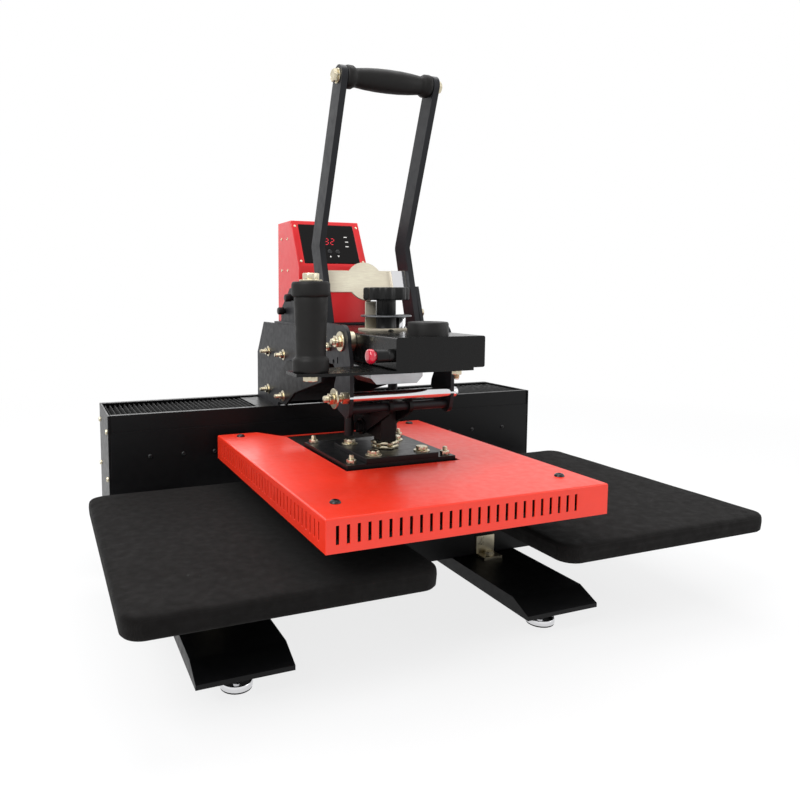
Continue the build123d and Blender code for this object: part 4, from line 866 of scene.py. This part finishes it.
    def stop_button(self) -> None:
        """The red cap of the stop button and its black barrel."""
        y, z = -0.256, 0.4275
        cap = Shape()
        profile = [(0.0062, -0.012), (0.0062, 0), (0.0094, 0), (0.01, 0.0006), (0.01, 0.0048),
            (0.0092, 0.0067), (0.0072, 0.0077), (0.004, 0.008)]
        cap.lathe((HEAD_X - 0.0995, y, z), (-1, 0, 0), profile, 56)
        self.place(cap, "stop_button_mushroom", [Finishes.RED_CAP], "stop_button", "red_plastic",
            "stop_button_cap", smooth=50)
        barrel = Shape()
        profile = [(0.0088, 0), (0.009, 0.0004), (0.009, 0.008), (0.0084, 0.0086), (0.0084, 0.0094),
            (0.009, 0.01), (0.009, 0.0246), (0.0084, 0.026), (0.0068, 0.026), (0.0065, 0.025),
            (0.0065, 0.013)]
        barrel.lathe((HEAD_X - 0.07, y, z), (-1, 0, 0), profile, 56)
        self.place(barrel, "stop_button_barrel", [Finishes.PLASTIC], "carriage", "black_plastic",
            "stop_button_body")

    def make(self) -> None:
        """Builds every grip and knob."""
        self.top_grip()
        self.side_grip()
        self.star_knob()
        self.clamp_knobs()
        self.dial()
        self.puck()
        self.stop_button()


@dataclass
class ControlPanel(Maker):
    """What is on the sloping face of the control box."""

    front: float = 0.109
    run: float = 0.045
    knee: float = 0.558
    top: float = 0.645

    def _on_face(self, x: float, up: float, out: float) -> Vector:
        rise = self.top - self.knee
        length = math.hypot(self.run, rise)
        middle = Vector((HEAD_X, self.front + self.run / 2, (self.knee + self.top) / 2))
        along = Vector((0, self.run / length, rise / length))
        normal = Vector((0, -rise / length, self.run / length))
        return middle + Vector((x, 0, 0)) + along * up + normal * out

    def _patch(self, shape: Shape, corners: Profile, out: float, thick: float) -> None:
        outline = [self._on_face(x, up, out) for x, up in corners]
        step = self._on_face(0, 0, thick) - self._on_face(0, 0, 0)
        shape.extrusion(outline, step)

    def _digit(self, shape: Shape, lit: str, x: float, up: float, high: float) -> None:
        wide, bar = high * 0.52, high * 0.1
        half = high / 2
        places = {"a": (0, high, True), "g": (0, half, True), "d": (0, 0, True), "f": (0, half, False),
            "b": (wide, half, False), "e": (0, 0, False), "c": (wide, 0, False)}
        for name in lit:
            px, py, flat = places[name]
            if flat:
                corners = rectangle(px + bar, px + wide - bar, py - bar / 2, py + bar / 2)
            else:
                corners = rectangle(px - bar / 2, px + bar / 2, py + bar, py + half - bar)
            slanted = [(x + cx + cy * 0.12, up + cy) for cx, cy in corners]
            self._patch(shape, slanted, 0.0006, 0.0001)

    def make(self) -> None:
        """Builds the lit digits, the marks, the buttons and the screws."""
        digits = Shape()
        self._digit(digits, "abgcd", -0.0085, -0.001, 0.0125)
        self._digit(digits, "abged", 0.003, -0.001, 0.0125)
        self.place(digits, "display_digits", [Finishes.DIGIT], "carriage", "panel_plastic")
        marks = Shape()
        for x, up in ((0.0355, 0.0155), (0.0365, 0.0052), (0.0353, -0.0048)):
            self._patch(marks, rectangle(x - 0.0032, x + 0.0032, up - 0.001, up + 0.001), 0.0006, 0.0001)
        for x, turn in ((-0.002, 1), (0.014, -1)):
            tip = -0.0262 + turn * 0.0019
            back = -0.0262 - turn * 0.0019
            self._patch(marks, [(x - 0.0022 * turn, back), (x + 0.0022 * turn, back), (x, tip)], 0.0006,
                0.0001)
        self.place(marks, "panel_marks", [Finishes.MARK], "carriage", "panel_plastic")
        normal = self._on_face(0, 0, 1) - self._on_face(0, 0, 0)
        for x, node, body in ((-0.002, "button_up", "up_button"), (0.014, "button_down", "down_button")):
            cap = Shape()
            cap.lathe(self._on_face(x, -0.0165, -0.0024), normal, [(0.0044, 0), (0.0045, 0.0002),
                (0.0045, 0.0034), (0.004, 0.004), (0.003, 0.0042), (0.0016, 0.004)], 40)
            self.place(cap, node + "_cap", [Finishes.BUTTON], body, "button_plastic", node, smooth=50)
        screws = Shape()
        for x, up in ((-0.062, 0.037), (0.062, 0.037), (-0.062, -0.037), (0.062, -0.037)):
            screws.lathe(self._on_face(x, up, 0.0), normal, [(0.0024, 0), (0.0022, 0.0006), (0.0012, 0.001),
                (0.0008, 0.0006)], 20)
        for y, z in ((0.2042, 0.6136), (0.1706, 0.612), (0.203, 0.5537), (0.169, 0.553)):
            for side in (-1, 1):
                screws.lathe((HEAD_X + side * 0.0685, y, z), (side, 0, 0),
                    [(0.0026, 0), (0.0024, 0.0008), (0.0014, 0.0013), (0.001, 0.0007)], 20)
        self.place(screws, "control_box_screws", [Finishes.ZINC], "carriage", "zinc")


@dataclass
class Studio:
    """Camera, floor and lights."""

    eye: Point = (-0.56841, -1.09231, 0.51189)
    right: Point = (0.92945, -0.36895, 0.0)
    up: Point = (0.03447, 0.08684, 0.99563)
    back: Point = (-0.36734, -0.92538, 0.09343)
    lens: float = 31.667
    shift: Pair = (0.10514, -0.05183)
    floor_half: float = 9.0
    near_white: float = 0.8
    fade: Pair = (0.9, 2.6)

    def camera(self) -> None:
        """Places the camera where the photograph was taken from."""
        data = bpy.data.cameras.new("camera")
        data.lens = self.lens
        data.sensor_width = 36.0
        data.shift_x, data.shift_y = self.shift
        data.clip_start, data.clip_end = 0.02, 60.0
        obj = link_new("camera", data)
        columns = Matrix((self.right, self.up, self.back)).transposed().to_4x4()
        obj.matrix_world = Matrix.Translation(self.eye) @ columns
        bpy.context.scene.camera = obj

    def _light(self, name: str, place: Point, aim: Point, size: Pair, power: float) -> None:
        data = bpy.data.lights.new(name, "AREA")
        data.shape = "RECTANGLE"
        data.size, data.size_y = size
        data.energy = power
        obj = link_new(name, data)
        way = Vector(aim) - Vector(place)
        obj.location = place
        obj.rotation_euler = way.to_track_quat("-Z", "Y").to_euler()

    def lights(self) -> None:
        """A broad soft light from above left, a broad one from overhead, a fill from the right and one from
        behind.
        """
        self._light("key", (-1.9, -1.0, 2.2), (0, -0.05, 0.3), (1.6, 1.6), 60)
        self._light("top", (0.1, 0.5, 2.6), (0, -0.1, 0.2), (2.4, 1.6), 34)
        self._light("right_fill", (2.2, -1.4, 1.3), (0, 0, 0.3), (1.4, 1.4), 18)
        self._light("rear_fill", (0.2, 2.6, 1.4), (0, 0.2, 0.3), (2.0, 1.2), 14)

    @staticmethod
    def _seen(tree: Tree, path: Node, share: Union[float, Socket]) -> Socket:
        """The share of white that camera, mirror and glass rays meet, zero for all other rays."""
        add = MaterialBook.add_node
        shiny = add(tree, "Math", {0: path.outputs["Is Glossy Ray"], 1: path.outputs["Is Transmission Ray"]},
            operation="MAXIMUM")
        either = add(tree, "Math", {0: path.outputs["Is Camera Ray"], 1: shiny.outputs[0]},
            operation="MAXIMUM")
        return add(tree, "Math", {0: either.outputs[0], 1: share}, operation="MULTIPLY").outputs[0]

    def world(self) -> None:
        """A white surround that lights evenly and shows white to the camera."""
        world = bpy.data.worlds.new("studio")
        tree = fresh_tree(world)
        add = MaterialBook.add_node
        path = add(tree, "LightPath")
        seen = add(tree, "Background", {"Color": (1, 1, 1, 1), "Strength": 1.0})
        lit = add(tree, "Background", {"Color": (0.93, 0.95, 1.0, 1), "Strength": 0.4})
        share = self._seen(tree, path, 1.0)
        mix = add(tree, "MixShader", {"Fac": share, 1: lit.outputs[0], 2: seen.outputs[0]})
        add(tree, "OutputWorld", {"Surface": mix.outputs[0]})
        bpy.context.scene.world = world

    def floor(self) -> None:
        """A plain pale floor: shadows show near the press, and it fades to white further away."""
        mesh = bpy.data.meshes.new("floor")
        half = self.floor_half
        mesh.from_pydata([(x, y, 0) for x, y in rectangle(-half, half, -half, half)], [], [(0, 1, 2, 3)])
        obj = link_new("floor", mesh)
        material = bpy.data.materials.new("pale_floor")
        tree = fresh_tree(material)
        add = MaterialBook.add_node
        matt = add(tree, "BsdfDiffuse", {"Color": (0.95, 0.95, 0.95, 1)})
        white = add(tree, "Emission", {"Color": (1, 1, 1, 1), "Strength": 1.0})
        path = add(tree, "LightPath")
        place = add(tree, "TexCoord").outputs["Object"]
        away = add(tree, "VectorMath", {0: place}, operation="LENGTH").outputs["Value"]
        share = add(tree, "MapRange", {"Value": away, "From Min": self.fade[0], "From Max": self.fade[1],
            "To Min": self.near_white, "To Max": 1.0}).outputs["Result"]
        share = self._seen(tree, path, share)
        mix = add(tree, "MixShader", {"Fac": share, 1: matt.outputs[0], 2: white.outputs[0]})
        add(tree, "OutputMaterial", {"Surface": mix.outputs[0]})
        mesh.materials.append(material)

    def make(self) -> None:
        """Sets up the whole studio."""
        self.camera()
        self.lights()
        self.world()
        self.floor()
        bpy.context.scene.view_settings.view_transform = "Standard"


@dataclass
class HeatPress:
    """The whole press: the CAD nodes that stay, and the pieces that stand for the rest."""

    book: MaterialBook

    def dress_nodes(self) -> None:
        """Gives every CAD node that stays visible its finish and its soft edges."""
        f = Finishes
        plan = {"left_leg": (f.FRAME_BLACK, 0.0012), "right_leg": (f.FRAME_BLACK, 0.0012),
            "cross_beam": (f.FRAME_BLACK, 0.0015), "beam_brackets": (f.ZINC, 0.0004),
            "platen_saddles": (f.FRAME_BLACK, 0.0008), "platen_plates": (f.ALUMINIUM, 0.0006),
            "housing_front_panel": (f.HOUSING_BLACK, 0.0009),
            "housing_front_cover": (f.HOUSING_BLACK, 0.0007),
            "housing_rear_panel": (f.HOUSING_BLACK, 0.0007), "housing_end_plates": (f.HOUSING_BLACK, 0.0009),
            "rail_beam": (f.FRAME_BLACK, 0.0012), "guide_rails": (f.STEEL, 0.0006),
            "carriage_saddle": (f.HOUSING_BLACK, 0.0006), "runner_blocks": (f.STEEL, 0.0006),
            "column_cheeks": (f.COLUMN_GREY, 0.0008), "arm_gussets": (f.FRAME_BLACK, 0.0008),
            "arm": (f.ARM_BLACK, 0.0006), "arm_plate": (f.ARM_BLACK, 0.0007),
            "guide_posts": (f.PLATE_BLACK, 0.0004), "spindle_block": (f.ALUMINIUM, 0.0006),
            "control_bracket": (f.COLUMN_GREY, 0.0006), "control_box": (f.BOX_RED, 0.0012),
            "control_panel": (f.PANEL, 0.0003), "mains_inlet": (f.PLASTIC, 0.0005),
            "mains_rocker": (f.BUTTON, 0.0005), "ram": (f.FRAME_BLACK, 0.0008),
            "mount_plate_lower": (f.PLATE_BLACK, 0.0008), "mount_plate_upper": (f.PLATE_BLACK, 0.0008),
            "heater_plate": (f.HEATER, 0.0008), "insulation": (f.WOOL, 0.0),
            "head_cover": (f.COVER_RED, 0.0005), "lever_left": (f.COLUMN_GREY, 0.0009),
            "lever_right": (f.COLUMN_GREY, 0.0009), "brace_plate": (f.STAINLESS, 0.0004),
            "knee_links": (f.FRAME_BLACK, 0.0007)}
        dresser = CadDress(self.book)
        for node, (finish, edge) in plan.items():
            dresser.dress(node, finish.value, edge)

    def make(self) -> None:
        """Builds the visible press."""
        self.dress_nodes()
        Platens(self.book).make()
        Bellows(self.book).make()
        Feet(self.book).make()
        Fasteners(self.book).make()
        Grips(self.book).make()
        ControlPanel(self.book).make()


def main() -> None:
    logging.basicConfig(level=logging.INFO, format="%(levelname)s %(message)s")
    Studio().make()
    HeatPress(MaterialBook()).make()


if __name__ == "__main__":
    main()
